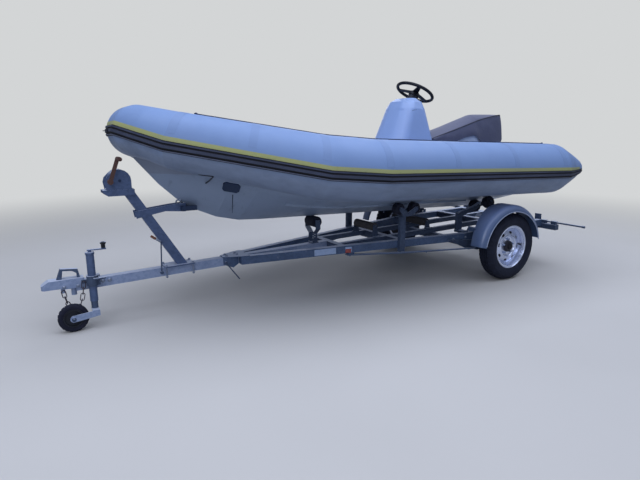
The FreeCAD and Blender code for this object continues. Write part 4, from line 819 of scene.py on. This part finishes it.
def castor_notch(step, row):
    """How deep the castor's tyre is cut between its slanting bars."""
    row = min(row, len(castor_profile) - 1 - row)
    return 0.0035 if row >= 4 and (step - (row - 4)) % 8 in (0, 1) else 0.0


bm = bmesh.new()
castor_centre = at(castor_x, castor_y, castor_z)
lathe(bm, castor_profile, castor_centre, castor_steps)
cut_notches(bm, castor_profile, castor_centre, castor_steps, castor_notch)
tread = piece("jockey_tread", bm, "jockey_wheel", jockey_rubber, 30)
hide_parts("jockey_tyre")

# %% [markdown]
# A hood of coated cloth is tied tight over the seat and its backrest, with a seam along each upper edge.
# A cloth simulation would drape it freely, but a hood that is sewn to shape hangs as it was cut. So it
# is one sheet through measured sections, with soft folds that fade at the seams and the hem.

# %%
# Sections of the seat cover
# Columns: place along the boat, hem height, seam height, hem half width, seam half width, crown
cover_lines = [
    (-404, 1122, 1143, 168, 156, 0), (-396, 1122, 1152, 170, 155, 8), (-330, 1122, 1172, 173, 152, 18),
    (-230, 1122, 1201, 174, 147, 26), (-120, 1136, 1233, 174, 141, 33), (-30, 1164, 1260, 174, 136, 40),
    (60, 1182, 1288, 174, 131, 46), (110, 1180, 1303, 173, 128, 49), (150, 1150, 1315, 172, 125, 51),
    (190, 1124, 1327, 171, 122, 50), (300, 1120, 1352, 169, 116, 33), (400, 1120, 1373, 165, 111, 16),
    (462, 1128, 1384, 158, 107, 6), (490, 1160, 1384, 150, 104, 2)]
long_steps, side_steps, top_steps = 96, 22, 18


def smooth_row(values, t):
    """Catmull-Rom through rows of numbers at t from 0 to the last row."""
    i = min(int(t), len(values) - 2)
    u = t - i
    near = (values[max(i - 1, 0)], values[i], values[i + 1], values[min(i + 2, len(values) - 1)])
    return [0.5 * (2 * b + (c - a) * u + (2 * a - 5 * b + 4 * c - d) * u * u
                   + (3 * b - a - 3 * c + d) * u ** 3) for a, b, c, d in zip(*near)]


def fold(x, s, phase):
    """The wander of a soft fold."""
    slow = math.sin(x * 9 + phase + s * 1.5) * math.sin(s * 4 + phase * 2)
    return slow + 0.4 * math.sin(x * 23 - s * 5 + phase * 3)


def cover_row(x, hem, ridge, wide, narrow, crown):
    """One section of the cover: up the port side, over the top and down the starboard side."""
    def side_point(v, phase, side):
        arch = math.sin(math.pi * v)
        bulge = 5.0 * arch + 2.2 * fold(x / 1000, v, phase) * arch ** 0.5
        return (x, side * (wide + (narrow - wide) * v ** 1.15 + bulge), hem + (ridge - hem) * v)

    def top_point(v):
        arch = math.sin(math.pi * v)
        height = ridge + crown * arch ** 0.8 + 1.6 * fold(x / 1000, v, 1.9) * arch
        return (x, -narrow + 2 * narrow * v, height)

    port = [side_point(k / side_steps, 0.4, -1) for k in range(side_steps + 1)]
    top = [top_point(k / top_steps) for k in range(1, top_steps)]
    return port + top + [side_point(1 - k / side_steps, 2.7, 1) for k in range(side_steps + 1)]


# %%
# Seat cover and its two seams
bm = bmesh.new()
grid = []
for t in spread(0, len(cover_lines) - 1, long_steps + 1):
    grid.append([bm.verts.new(on_boat(*p)) for p in cover_row(*smooth_row(cover_lines, t))])
join_rows(bm, grid)
for row in (grid[0], grid[-1]):
    for k in range((len(row) - 3) // 2):
        bm.faces.new((row[k], row[k + 1], row[-2 - k], row[-1 - k]))
seam_rows = [[row[k].co.copy() for row in grid] for k in (side_steps, side_steps + top_steps)]
cover = piece("seat_cover_cloth", bm, HULL, cover_cloth, 60)
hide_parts("seat_cover")

bm = bmesh.new()
for row in seam_rows:
    add_tube(bm, row[1:-1], 0.0032, 8)
piece("seat_cover_seams", bm, HULL, grip_black)

# %% [markdown]
# The trailer is bolted together, and the bolts are what the eye finds first on a plain beam. They are
# modelled, not drawn in bump, and stand where the photograph shows them.

# %%
# Bolts on the trailer frame: clamp plates, junction, roller bracket, hangers and stays
up, below = (0, 0, 1), (0, 0, -1)
bm = bmesh.new()
for x in (-2680, -2496):
    for y in (-46, 46):
        add_bolt(bm, on_frame(x, y, 398), up, 10)
        add_tube(bm, [on_frame(x, y, 389), on_frame(x, y, 318)], 0.005, 10)
        add_bolt(bm, on_frame(x, y, 330), below, 10)
for x, y, size in ((-2240, 22, 10), (-2160, 22, 10), (-1517, 24, 8), (-1473, 24, 8)):
    for side in sides:
        add_bolt(bm, on_frame(x, side * y, 396), up, size)
for side in sides:
    for x, z in ((-440, 350), (-180, 318), (-300, 352)):
        add_bolt(bm, at(x, side * 504.2, z), (0, side, 0), 10)
    for x, y in ((-1300, 245), (-700, 466)):
        add_bolt(bm, at(x, side * y, 268), below, 8)
    for x, z in ((-250, 470), (-300, 420), (-240, 330)):
        add_bolt(bm, at(x, side * 603.5, z), (0, -side, 0), 8)
piece("frame_bolts", bm, HULL, zinc_plain)

# %% [markdown]
# The rubbing strake is one extruded rubber section glued round the whole tube. Its grooves are too narrow
# for the solid, so thin black bands of painted shade lie just over it, in the grooves and along both edges,
# and a pale band on one rib is a painted highlight: each is a section carried through every joint, and on
# over the stern cones, where it narrows with them.

# %%
# Bands along the strake
cone_rings = [(0.06, 0.97), (0.20, 0.865), (0.40, 0.715), (0.60, 0.56), (0.80, 0.39)]
cone_start, cone_length, cone_rise, tube_radius = 440.0, 438.0, 7.0, 207.0
band_lift = (0.0, 0.0, 0.0, 0.0, 20.0, 38.0, 38.0, 20.0, 0.0, 0.0, 0.0, 0.0)
strake_low, strake_width, strake_thick = -70.0, 64.0, 11.0


def cone_skin(side, along, share, angle, lift):
    """A point on a stern cone's skin, where the cone has a share of the tube's radius."""
    radius = tube_radius * share + lift
    a = math.radians(angle)
    return on_boat(cone_start + cone_length * along, side * (710.0 + radius * math.cos(a)),
                   915.0 + cone_rise * along ** 1.6 + radius * math.sin(a))


def add_band(bm, line, proud):
    """A band round the tube. The line's columns: share of the strake's width, share of its thickness."""
    section = [(strake_low + strake_width * share, strake_thick * height + proud) for share, height in line]
    cones = []
    for side in sides:
        rows = []
        for along, share in cone_rings:
            narrow = math.degrees((0.35 + 0.65 * share) / (tube_radius * share))
            rows.append([cone_skin(side, along, share, d * narrow, h) for d, h in section])
        cones.append(rows)
    middle = [[on_boat(*joint_point(i, math.degrees((d + band_lift[i]) / radius), radius + h))
               for d, h in section] for i, radius in enumerate(radii)]
    rows = cones[0][::-1] + middle + cones[1]
    join_rows(bm, [[bm.verts.new(q) for q in row] for row in rows])


bm = bmesh.new()
# Bands of painted shade: two grooves and both edges
for line in (((0.17, 0.765), (0.19, 0.76), (0.24, 0.45), (0.30, 0.45), (0.35, 1.0), (0.38, 1.0)),
             ((0.65, 1.0), (0.70, 0.45), (0.76, 0.45), (0.81, 0.76)),
             ((-0.02, 0.06), (0.0, 0.30), (0.04, 0.72), (0.075, 0.73)),
             ((0.95, 0.725), (0.96, 0.72), (1.0, 0.30), (1.02, 0.06))):
    add_band(bm, line, 0.45)
piece("strake_grooves", bm, HULL, groove_painted_shade)
bm = bmesh.new()
# A band of painted highlight along the lower rib
add_band(bm, ((0.08, 0.735), (0.165, 0.762)), 0.5)
piece("strake_rib_highlight", bm, HULL, rib_painted_highlight)

# %% [markdown]
# A round patch closes each stern cone where its cloth ends meet, and a rubber boss with a ring sits on
# the nose. Both are small, but they break up large plain skins.

# %%
# Round patches on the stern cones
patch_along, patch_angle, patch_radius, patch_thick = 0.30, 24.0, 38.0, 2.5


def cone_share(along):
    """The share of the tube's radius that a stern cone has left."""
    return 1.0 - 0.72 * along


bm = bmesh.new()
for side in sides:
    arc = math.degrees(patch_radius / (tube_radius * cone_share(patch_along)))
    middle = bm.verts.new(cone_skin(side, patch_along, cone_share(patch_along), patch_angle, patch_thick))
    inner, outer = [], []
    for t in turns(28):
        x = patch_along + math.sin(t) * patch_radius / cone_length
        a = patch_angle + math.cos(t) * arc
        inner.append(bm.verts.new(cone_skin(side, x, cone_share(x), a, patch_thick)))
        outer.append(bm.verts.new(cone_skin(side, x, cone_share(x), a, 0.0)))
    for k in range(len(inner)):
        bm.faces.new((middle, inner[k - 1], inner[k]))
    join_rows(bm, [inner, outer], ring=True)
piece("cone_patches", bm, HULL, tube_tape)

# %%
# Boss and ring on the nose
nose = at(-2975, 0, 1229)
bm = bmesh.new()
add_prism(bm, nose + Vector((0.006, 0, 0)), (-1, 0, 0.03), 0.021, 0.005, 24, 0.001)
ring_points = [nose + Vector((-0.004 - 0.007 * (1 + math.cos(t)), 0.012 * math.sin(t), -0.002))
               for t in turns(20)]
add_tube(bm, ring_points, 0.0024, 8, closed=True)
piece("nose_ring", bm, HULL, block_rubber)

# %% [markdown]
# The lifelines are laid rope: three strands twisted round each other, about 10 mm thick, held down by
# patches along the tube. Bump on one round bar would give a plain edge, so each strand is its own bar.

# %%
# Route of a lifeline, and the same line in even steps
rope_angle, rope_lift = 103.0, 8.6
rope_radius, rope_lay, rope_step = 0.005, 0.036, 0.006
rope_stops = [(0, 0.03), (0, 0.06), (0, 0.28), (0, 0.50), (0, 0.72), (0, 0.93), (1, 0.0), (1, 0.30),
              (1, 0.70), (2, 0.0), (2, 0.06), (2, 0.28), (2, 0.48), (2, 0.70), (2, 0.90), (2, 0.93)]


def rope_route(side):
    """Control points of a lifeline on the tube's upper side."""
    points = [skin(run, share, rope_angle, rope_lift) for run, share in rope_stops]
    return [Vector((p.x, -side * p.y, p.z)) for p in points]


def spline_points(points, steps=14):
    """Points of the smooth spline through a route."""
    curve = bpy.data.curves.new("route", "CURVE")
    curve.dimensions = "3D"
    curve.resolution_u = steps
    spline = curve.splines.new("NURBS")
    spline.points.add(len(points) - 1)
    for control, q in zip(spline.points, points):
        control.co = (*q, 1.0)
    spline.order_u = 3
    spline.use_endpoint_u = True
    carrier = bpy.data.objects.new("route", curve)
    scene.collection.objects.link(carrier)
    mesh = bpy.data.meshes.new_from_object(carrier)
    found = [v.co.copy() for v in mesh.vertices]
    bpy.data.objects.remove(carrier)
    bpy.data.curves.remove(curve)
    bpy.data.meshes.remove(mesh)
    return found


def even_points(points, step):
    """The same line with points at an even step in metres."""
    out, carry = [points[0]], 0.0
    for a, b in zip(points, points[1:]):
        length = (b - a).length
        while carry + step <= length:
            carry += step
            out.append(a.lerp(b, carry / length))
        carry -= length
    return out


# %%
# Lifelines: strands, and a whipped end at each end


def add_strands(bm, line):
    """Three strands laid round a line."""
    for k in range(3):
        points = []
        for i, q in enumerate(line):
            along = (line[min(i + 1, len(line) - 1)] - line[max(i - 1, 0)]).normalized()
            side = along.cross(Vector((0, 0, 1))).normalized()
            over = side.cross(along)
            turn = 2 * math.pi * (i * rope_step / rope_lay + k / 3)
            points.append(q + (side * math.cos(turn) + over * math.sin(turn)) * (rope_radius * 0.52))
        add_tube(bm, points, rope_radius * 0.50, 5)


bm = bmesh.new()
for side in sides:
    line = even_points(spline_points(rope_route(side)), rope_step)
    add_strands(bm, line)
    for end, inward in ((line[0], line[3]), (line[-1], line[-4])):
        along = (inward - end).normalized()
        add_tube(bm, [end + along * d for d in (-0.002, 0.004, 0.010, 0.016, 0.020)],
                 [0.004, 0.0085, 0.0095, 0.008, 0.0045], 12)
    print("lifeline of", round(rope_step * (len(line) - 1), 2), "m")
rope = piece("lifeline_strands", bm, HULL, rope_navy, 60)
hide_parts("lifelines")

# %% [markdown]
# On the port bow a dark run of water has dried on the hull, and a short strap is lashed over the tube.
# Both lie on a curved skin, so their points are dropped onto the solid's own surface.

# %%
# Bow drip line and lashing


def add_ribbon(bm, placed, half):
    """A flat ribbon along placed points and directions, with a half width for each."""
    rows = []
    for i, (q, normal) in enumerate(placed):
        along = (placed[min(i + 1, len(placed) - 1)][0] - placed[max(i - 1, 0)][0]).normalized()
        side = along.cross(normal).normalized()
        rows.append((bm.verts.new(q - side * half[i]), bm.verts.new(q + side * half[i])))
    join_rows(bm, rows)


bm = bmesh.new()
start, stop = at(-2256, -240, 806), at(-2200, -70, 655)
placed = on_surface(nodes["hull"], [start.lerp(stop, i / 16) for i in range(17)], 0.0005)
add_ribbon(bm, placed, [0.0032 - 0.00013 * i for i in range(17)])
piece("hull_drip", bm, HULL, block_rubber)

bm = bmesh.new()
strap = [at(-2545 + 7.5 * i, -440 - 5 * i, 965 - 1.3 * i) for i in range(11)]
placed = on_surface(nodes["buoyancy_tube"], strap, 0.0015)
add_ribbon(bm, placed, [0.008] * len(strap))
cleat = placed[-1][0]
tail_end = on_surface(nodes["hull"], [at(-2446, -240, 866)], 0.003)[0][0]
add_tube(bm, [cleat, cleat.lerp(tail_end, 0.5) + Vector((0, 0, -0.004)), tail_end], 0.0045, 8)
piece("bow_lashing", bm, HULL, grip_black)

# %% [markdown]
# Three parts stand a little differently in the photograph than their solids do. Their meshes are copied,
# merged and moved, so that they keep the solids' edges, and each takes its solid's place.

# %%
# Side plates: as deep and as level as the photograph shows them
plate_turn, plate_long, plate_deep = math.radians(11), 0.90, 1.30
hull_tree = surface_tree(nodes["hull"])


def hull_y(x, z, side):
    """Where the hull's skin stands beside a place."""
    hit = hull_tree.ray_cast(Vector((x, side * 2.0, z)), Vector((0, -side, 0)))[0]
    return abs(hit.y) if hit else None


bm = mesh_copy(nodes["hull_side_plates"])
for side in sides:
    verts = [v for v in bm.verts if v.co.y * side > 0]
    mid_x = (min(v.co.x for v in verts) + max(v.co.x for v in verts)) / 2
    mid_z = (min(v.co.z for v in verts) + max(v.co.z for v in verts)) / 2
    for v in verts:
        before = hull_y(v.co.x, v.co.z, side)
        dx, dz = v.co.x - mid_x, v.co.z - mid_z
        x = mid_x + (dx * math.cos(plate_turn) - dz * math.sin(plate_turn)) * plate_long
        z = mid_z + (dx * math.sin(plate_turn) + dz * math.cos(plate_turn)) * plate_deep
        after = hull_y(x, z, side)
        if before and after:
            v.co = Vector((x, side * (abs(v.co.y) - before + after), z))
plates = piece("side_plates_level", bm, HULL, plate_dark)
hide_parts("hull_side_plates")

# %%
# Bow stop block: shorter and thinner, with its top where it was
stop_long, stop_thick = 0.66, 0.50
bm = mesh_copy(nodes["bow_stop_block"])
low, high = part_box("bow_stop_block")
for v in bm.verts:
    v.co.x = low.x + (v.co.x - low.x) * stop_long
    v.co.z = high.z - (high.z - v.co.z) * stop_thick
stop = piece("bow_stop_pad", bm, HULL, plate_dark)
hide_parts("bow_stop_block")

# %%
# Console: the same moulding with its front set further aft, less so at the top
# Columns of the front: height, place along the boat
front_line = [(820.0, -1022.0), (1157.0, -878.0), (1389.0, -777.0), (1447.0, -733.0), (1480.0, -674.0)]
console_middle, set_back, set_back_less = -560.0, 80.0, 20.0
console_top, top_fade = 1400.0, 80.0


def along_line(line, z):
    """The second column of a line of points at a value of its first column."""
    if z <= line[0][0]:
        return line[0][1]
    for (z0, a), (z1, b) in zip(line, line[1:]):
        if z <= z1:
            return a + (b - a) * (z - z0) / (z1 - z0)
    return line[-1][1]


bm = mesh_copy(nodes["console"])
bmesh.ops.remove_doubles(bm, verts=bm.verts, dist=1e-5)
for v in bm.verts:
    x, z = (v.co.x - shift) * 1000, v.co.z * 1000
    share = (console_middle - x) / (console_middle - along_line(front_line, z))
    moved = set_back - set_back_less * min(max((z - console_top) / top_fade, 0.0), 1.0)
    v.co.x += moved * min(max(share, 0.0), 1.0) / 1000
shell = piece("console_shell", bm, HULL, console_gel, 32)
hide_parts("console")

bm = bmesh.new()
for side in sides:
    row = [at(-650 + 14 * k, side * 190, 1398 + 2 * k) for k in range(4)]
    for spot, out in on_surface(shell, row, -0.001):
        add_prism(bm, spot, out, 0.0032, 0.0022, 14, 0.0006)
piece("console_screws", bm, HULL, zinc_dark)

# %% [markdown]
# A mudguard is one sheet of plastic drawn over a mould: an arch with a lip on its inner edge and a
# rolled shoulder outside. It is a section carried round the wheel, and both edges change their place on
# the way, as the photograph shows: the sheet narrows towards the front and its shoulder to the rear.

# %%
# Mudguards
guard_x, guard_z, guard_r = -76.0, 273.0, 368.0
sheet, lip, shoulder_start, shoulder_width = 3.0, 16.0, 762.0, 48.0


def eased(value, low, high):
    """From 0 to 1 between two values, with soft ends."""
    t = max(0.0, min(1.0, (value - low) / (high - low)))
    return t * t * (3 - 2 * t)


def guard_inner(degrees):
    """Where the sheet's inner edge stands at an angle from the rear."""
    return 640.0 + 50.0 * eased(degrees, 105.0, 170.0)


def guard_drop(degrees):
    """How far the rolled shoulder comes down. It narrows towards the rear."""
    return 32.0 + 20.0 * eased(degrees, 10.0, 80.0)


def guard_point(reach, y, degrees):
    """A point at a reach from the guard's centre, at an angle from the rear."""
    a = math.radians(degrees)
    return at(guard_x + reach * math.cos(a), y, guard_z + reach * math.sin(a))


def guard_section(inner, drop):
    """The sheet's section as reach from the centre and half width: outer side, then inner side."""
    arc = [(drop * (1 - math.cos(math.radians(9 * k))),
            shoulder_start + shoulder_width * math.sin(math.radians(9 * k))) for k in range(11)]
    outer = [(guard_r - lip, inner), (guard_r - sheet, inner), (guard_r, inner + 4)]
    outer += [(guard_r - d, y) for d, y in arc]
    under = [(guard_r - sheet - d * 0.97, y - sheet * (y - shoulder_start) / shoulder_width)
             for d, y in reversed(arc)]
    return outer + under + [(guard_r - sheet, inner + 2 * sheet), (guard_r - lip, inner + sheet)]


bm = bmesh.new()
for side in sides:
    rings = []
    for i in range(65):
        degrees = 9.4 + (180 - 18.6) * i / 64
        section = guard_section(guard_inner(degrees), guard_drop(degrees))
        rings.append([bm.verts.new(guard_point(r, side * y, degrees)) for r, y in section])
    join_rows(bm, rings, ring=True)
    bm.faces.new(rings[0])
    bm.faces.new(rings[-1][::-1])
guards = piece("mudguard_sheets", bm, HULL, guard_plastic, 40)
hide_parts("mudguards")

# %%
# Tabs from the mudguards to their stays, each with a bolt
bm = bmesh.new()
for side in sides:
    for degrees, reach in ((150.0, 682.0), (128.0, 662.0), (22.0, 650.0)):
        a = math.radians(degrees)
        centre = guard_point(guard_r - 7, side * (607 + reach) / 2, degrees)
        turn = Matrix.Rotation(math.pi / 2 - a, 3, "Y")
        add_box(bm, centre, (0.020, (reach - 605) / 2000, 0.0022), turn, 0.0008)
        top = guard_point(guard_r + 0.4, side * (reach + 6), degrees)
        add_bolt(bm, top, (math.cos(a), 0, math.sin(a)), 6)
piece("mudguard_tabs", bm, HULL, zinc_painted_shade)

# %% [markdown]
# A steel wheel is a rolled barrel with a pressed disc welded in: steps at the edge, a raised ring, and
# vents cut near the barrel. The section is spun, and eight blocks are cut out of it with a Boolean,
# because cut edges catch the light as pressed ones do.

# %%
# Sections of rim and hub: radius and offset from the wheel's middle, in metres
disc_set, barrel_inside = 0.014, 0.157


def set_in(profile):
    """The section with its disc and hub set deeper into the barrel."""
    return [(r, h if r > barrel_inside or h < 0 else h - disc_set) for r, h in profile]


rim_front = [
    (0.1808, 0.0486), (0.1812, 0.0530), (0.1795, 0.0542), (0.1760, 0.0540), (0.1735, 0.0515),
    (0.1700, 0.0470), (0.1655, 0.0452), (0.1636, 0.0430), (0.1630, 0.0385), (0.1596, 0.0365),
    (0.1586, 0.0340), (0.1582, 0.0262), (0.1556, 0.0250), (0.1548, 0.0195), (0.1530, 0.0165),
    (0.1480, 0.0172), (0.1400, 0.0200), (0.1300, 0.0250), (0.1220, 0.0300), (0.1120, 0.0326),
    (0.1020, 0.0334), (0.0980, 0.0346), (0.0940, 0.0374), (0.0900, 0.0384), (0.0860, 0.0376),
    (0.0820, 0.0340), (0.0780, 0.0288), (0.0700, 0.0265), (0.0640, 0.0260), (0.0440, 0.0260)]
rim_back = [
    (0.0440, -0.0300), (0.0640, 0.0180), (0.0640, 0.0210), (0.0770, 0.0262), (0.0900, 0.0330),
    (0.0980, 0.0300), (0.1200, 0.0255), (0.1480, 0.0120), (0.1545, 0.0100), (0.1615, 0.0060),
    (0.1615, -0.0520), (0.1800, -0.0520), (0.1800, -0.0486), (0.1647, -0.0483), (0.1647, 0.0483)]
hub_line = [
    (0.0440, 0.0262), (0.0485, 0.0262), (0.0485, 0.0275), (0.0455, 0.0300), (0.0448, 0.0420),
    (0.0410, 0.0455), (0.0300, 0.0480), (0.0255, 0.0500)]
vent_shade_plate = [(0.045, -0.022), (0.150, -0.018), (0.150, -0.021), (0.045, -0.025)]
rim_loop = set_in(rim_front + rim_back + rim_front[:1])

# %%
# Rims with their vents, and the hubs with a dark plate behind: painted shade that closes the view through
# the vents


def cut_with(bm, cutter):
    """The mesh less the cutter."""
    pair = []
    for name, part in (("body", bm), ("cutter", cutter)):
        bmesh.ops.recalc_face_normals(part, faces=part.faces)
        mesh = bpy.data.meshes.new(name)
        part.to_mesh(mesh)
        part.free()
        obj = bpy.data.objects.new(name, mesh)
        scene.collection.objects.link(obj)
        pair.append(obj)
    body, tool = pair
    step = body.modifiers.new("cut", "BOOLEAN")
    step.operation = "DIFFERENCE"
    step.solver = "EXACT"
    step.object = tool
    bpy.context.view_layer.update()
    result = bmesh.new()
    result.from_mesh(body.evaluated_get(bpy.context.evaluated_depsgraph_get()).data)
    for obj in pair:
        bpy.data.objects.remove(obj)
    return result


for side, name in wheel_sides:
    body = name + "_road_wheel"
    centre = at(wheel_x, side * wheel_y, wheel_z)
    bm = bmesh.new()
    lathe(bm, rim_loop, centre, 128, side)
    cutter = bmesh.new()
    for k in range(8):
        turn = Matrix.Rotation(-math.radians(35 + 45 * k), 3, "Y")
        vent = centre + turn @ Vector((0.117, side * 0.014, 0))
        add_box(cutter, vent, (0.0095, 0.03, 0.0150), turn, 0.004)
    rim = piece(name + "_rim_dressed", cut_with(bm, cutter), body, wheel_paint, 24)
    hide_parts(name + "_rim")
    bm = bmesh.new()
    lathe(bm, set_in(hub_line), centre, 48, side)
    # A dark plate behind the vents: painted shade
    lathe(bm, vent_shade_plate, centre, 64, side)
    piece(name + "_hub_and_shade_plate", bm, body, hub_iron_and_painted_shade)

# %% [markdown]
# Small fittings make the trailer read as a used tool: the jack's knob, the lever's turned wooden grip
# and its sleeve, and the heads of bolts and pins. They are turned and prismatic forms in their places.

# %%
# Jack knob, latch grip and sleeve
bm = bmesh.new()
knob_profile = [(0.0, 0.0362), (0.010, 0.0360), (0.0165, 0.0335), (0.0180, 0.0290), (0.0172, 0.0245),
                (0.0128, 0.0215), (0.0126, 0.0), (0.0, -0.0003)]
lathe(bm, knob_profile, at(-3064, -69.5, 509.5), 28, axis=(0, 0, 1))
piece("jack_knob", bm, HULL, grip_black)

bm = bmesh.new()
grip_line = [at(x, -44, z) for x, z in ((-2736, 523.3), (-2738, 524.8), (-2763, 544.1), (-2765, 545.6))]
add_tube(bm, grip_line, [0.0066, 0.0086, 0.0086, 0.0064], 14)
piece("latch_grip", bm, HULL, handle_wood)
bm = bmesh.new()
add_tube(bm, [at(-2707, -44, 500.9), at(-2735.5, -44, 522.9)], 0.0066, 14)
piece("latch_sleeve", bm, HULL, pale_plastic)

# %%
# Heads of the castor's bolt, the coupling's bolts, the roller bracket's screws and the cradles' pins
bm = bmesh.new()
add_prism(bm, at(castor_x, -131.8, castor_z), (0, -1, 0), 0.0135, 0.003, 24, 0.001)
add_prism(bm, at(castor_x, -134.8, castor_z), (0, -1, 0), 0.0090, 0.006, 6, 0.001)
piece("castor_bolt", bm, "jockey_fork", zinc_dark)

bm = bmesh.new()
for x, y, z, size in ((-3305, 36, 277, 10), (-3228, 36, 276, 10),
                      (-3080, 30.2, 283, 12), (-3040, 30.2, 283, 12)):
    for side in sides:
        add_bolt(bm, at(x, side * y, z), (0, side, 0), size)
piece("coupling_bolts", bm, HULL, zinc_plain)

bm = bmesh.new()
for x, z in ((-1517, 394), (-1515, 412), (-1513, 430), (-1500, 402), (-1498, 421)):
    for side in sides:
        add_bolt(bm, at(x, side * 34.3, z), (0, side, 0), 5, plain=True)
piece("bracket_bolts", bm, HULL, pale_plastic)

bm = bmesh.new()
for side in sides:
    add_prism(bm, at(-16, side * 393.4, 604), (0, side, 0), 0.011, 0.004, 20, 0.001)
    add_prism(bm, at(-16, side * 397.4, 604), (0, side, 0), 0.0075, 0.006, 6, 0.001)
piece("cradle_pin_heads", bm, HULL, pale_plastic)

# %%
# Bead round the mudguards' outer edge, pale: a painted highlight along the lip
bm = bmesh.new()
for side in sides:
    bead = [guard_point(guard_r - guard_drop(degrees), side * 809, degrees)
            for degrees in spread(10.0, 169.0, 49)]
    add_tube(bm, bead, 0.0040, 8)
piece("mudguard_beads", bm, HULL, guard_lip_highlight)

# %%
# Red reflectors on the side beams
bm = bmesh.new()
for side in sides:
    out = Vector((-0.22, side * 0.975, -0.01)).normalized()
    along = Vector((0.975, side * 0.22, -0.027)).normalized()
    turn = Matrix((along, out, along.cross(out))).transposed()
    add_box(bm, at(-1336, side * 272.2, 313) + out * 0.0012, (0.0235, 0.0016, 0.0155), turn, 0.001)
piece("side_reflectors", bm, HULL, reflector)

# %% [markdown]
# The boat stands on a plain pale floor, which fades into a backdrop of the same colour so that no edge
# shows behind it. The fade is seen by the camera only, and light that bounces off the floor is a little
# darker and cooler than the floor looks, as on the ground outside.

# %%
# Floor
backdrop = linear("#d3d5d6")
fade_near, fade_far = 2.6, 8.5
bm = bmesh.new()
bmesh.ops.create_grid(bm, x_segments=1, y_segments=1, size=40)
mesh = bpy.data.meshes.new("floor")
bm.to_mesh(mesh)
bm.free()
floor = bpy.data.objects.new("floor", mesh)
scene.collection.objects.link(floor)
f = Finish("floor_paint", "#cfccc6", 0.85, specular=0.2)
f.stain(1800, 3, 0.55, 0.4, 0.7, "#c7c4be", 0.5)
f.tint(f.bounced(), "#a4a6aa")
paint = f.done()
tree = paint.node_tree
place = add_node(tree, "ShaderNodeNewGeometry", "Position", {})
far = add_node(tree, "ShaderNodeVectorMath", "Value", {0: place}, operation="LENGTH")
fade = add_node(tree, "ShaderNodeMapRange", "Result", {
    "Value": far, "From Min": fade_near, "From Max": fade_far}, interpolation_type="SMOOTHSTEP")
seen = add_node(tree, "ShaderNodeLightPath", "Is Camera Ray", {})
shown = add_node(tree, "ShaderNodeEmission", "Emission", {"Color": backdrop})
mixed = add_node(tree, "ShaderNodeMixShader", "Shader", {
    0: f.maths("MULTIPLY", fade, seen), 1: f.shader.outputs["BSDF"], 2: shown})
tree.links.new(mixed, tree.nodes["Material Output"].inputs["Surface"])
floor.data.materials.append(paint)

# %% [markdown]
# The photograph was taken under an even sky, so one wide cool lamp stands in for it, with a weaker one
# in front and one behind. The world lights the underside a little, and shows the camera the backdrop.

# %%
# World and lamps
world = bpy.data.worlds.new("studio")
scene.world = world
world.use_nodes = True
tree = world.node_tree
light = tree.nodes["Background"]
light.inputs["Color"].default_value = linear("#cfd9ee")
light.inputs["Strength"].default_value = 0.30
seen = add_node(tree, "ShaderNodeLightPath", "Is Camera Ray", {})
shown = add_node(tree, "ShaderNodeBackground", "Background", {"Color": backdrop})
mixed = add_node(tree, "ShaderNodeMixShader", "Shader", {0: seen, 1: light.outputs[0], 2: shown})
tree.links.new(mixed, tree.nodes["World Output"].inputs["Surface"])


def area_light(name, place, target, size, power, colour):
    """A lamp of a size in metres that points at a target."""
    data = bpy.data.lights.new(name, "AREA")
    data.shape = "RECTANGLE"
    data.size, data.size_y = size
    data.energy = power
    data.color = linear(colour)[:3]
    obj = bpy.data.objects.new(name, data)
    scene.collection.objects.link(obj)
    obj.location = place
    obj.rotation_euler = (Vector(target) - Vector(place)).to_track_quat("-Z", "Y").to_euler()
    print(name, power, "W")


area_light("sky_light", (0.0, -0.8, 5.4), (0.0, 0.0, 0.8), (10.0, 6.0), 405, "#dfe8ff")
area_light("front_light", (-4.5, -5.5, 3.6), (0.0, 0.0, 0.8), (4.0, 3.0), 105, "#e6ecff")
area_light("rear_light", (3.5, 4.5, 3.2), (0.0, 0.0, 0.9), (4.0, 3.0), 60, "#e6ecff")

# %%
# Bring the scene up to date
bpy.context.view_layer.update()
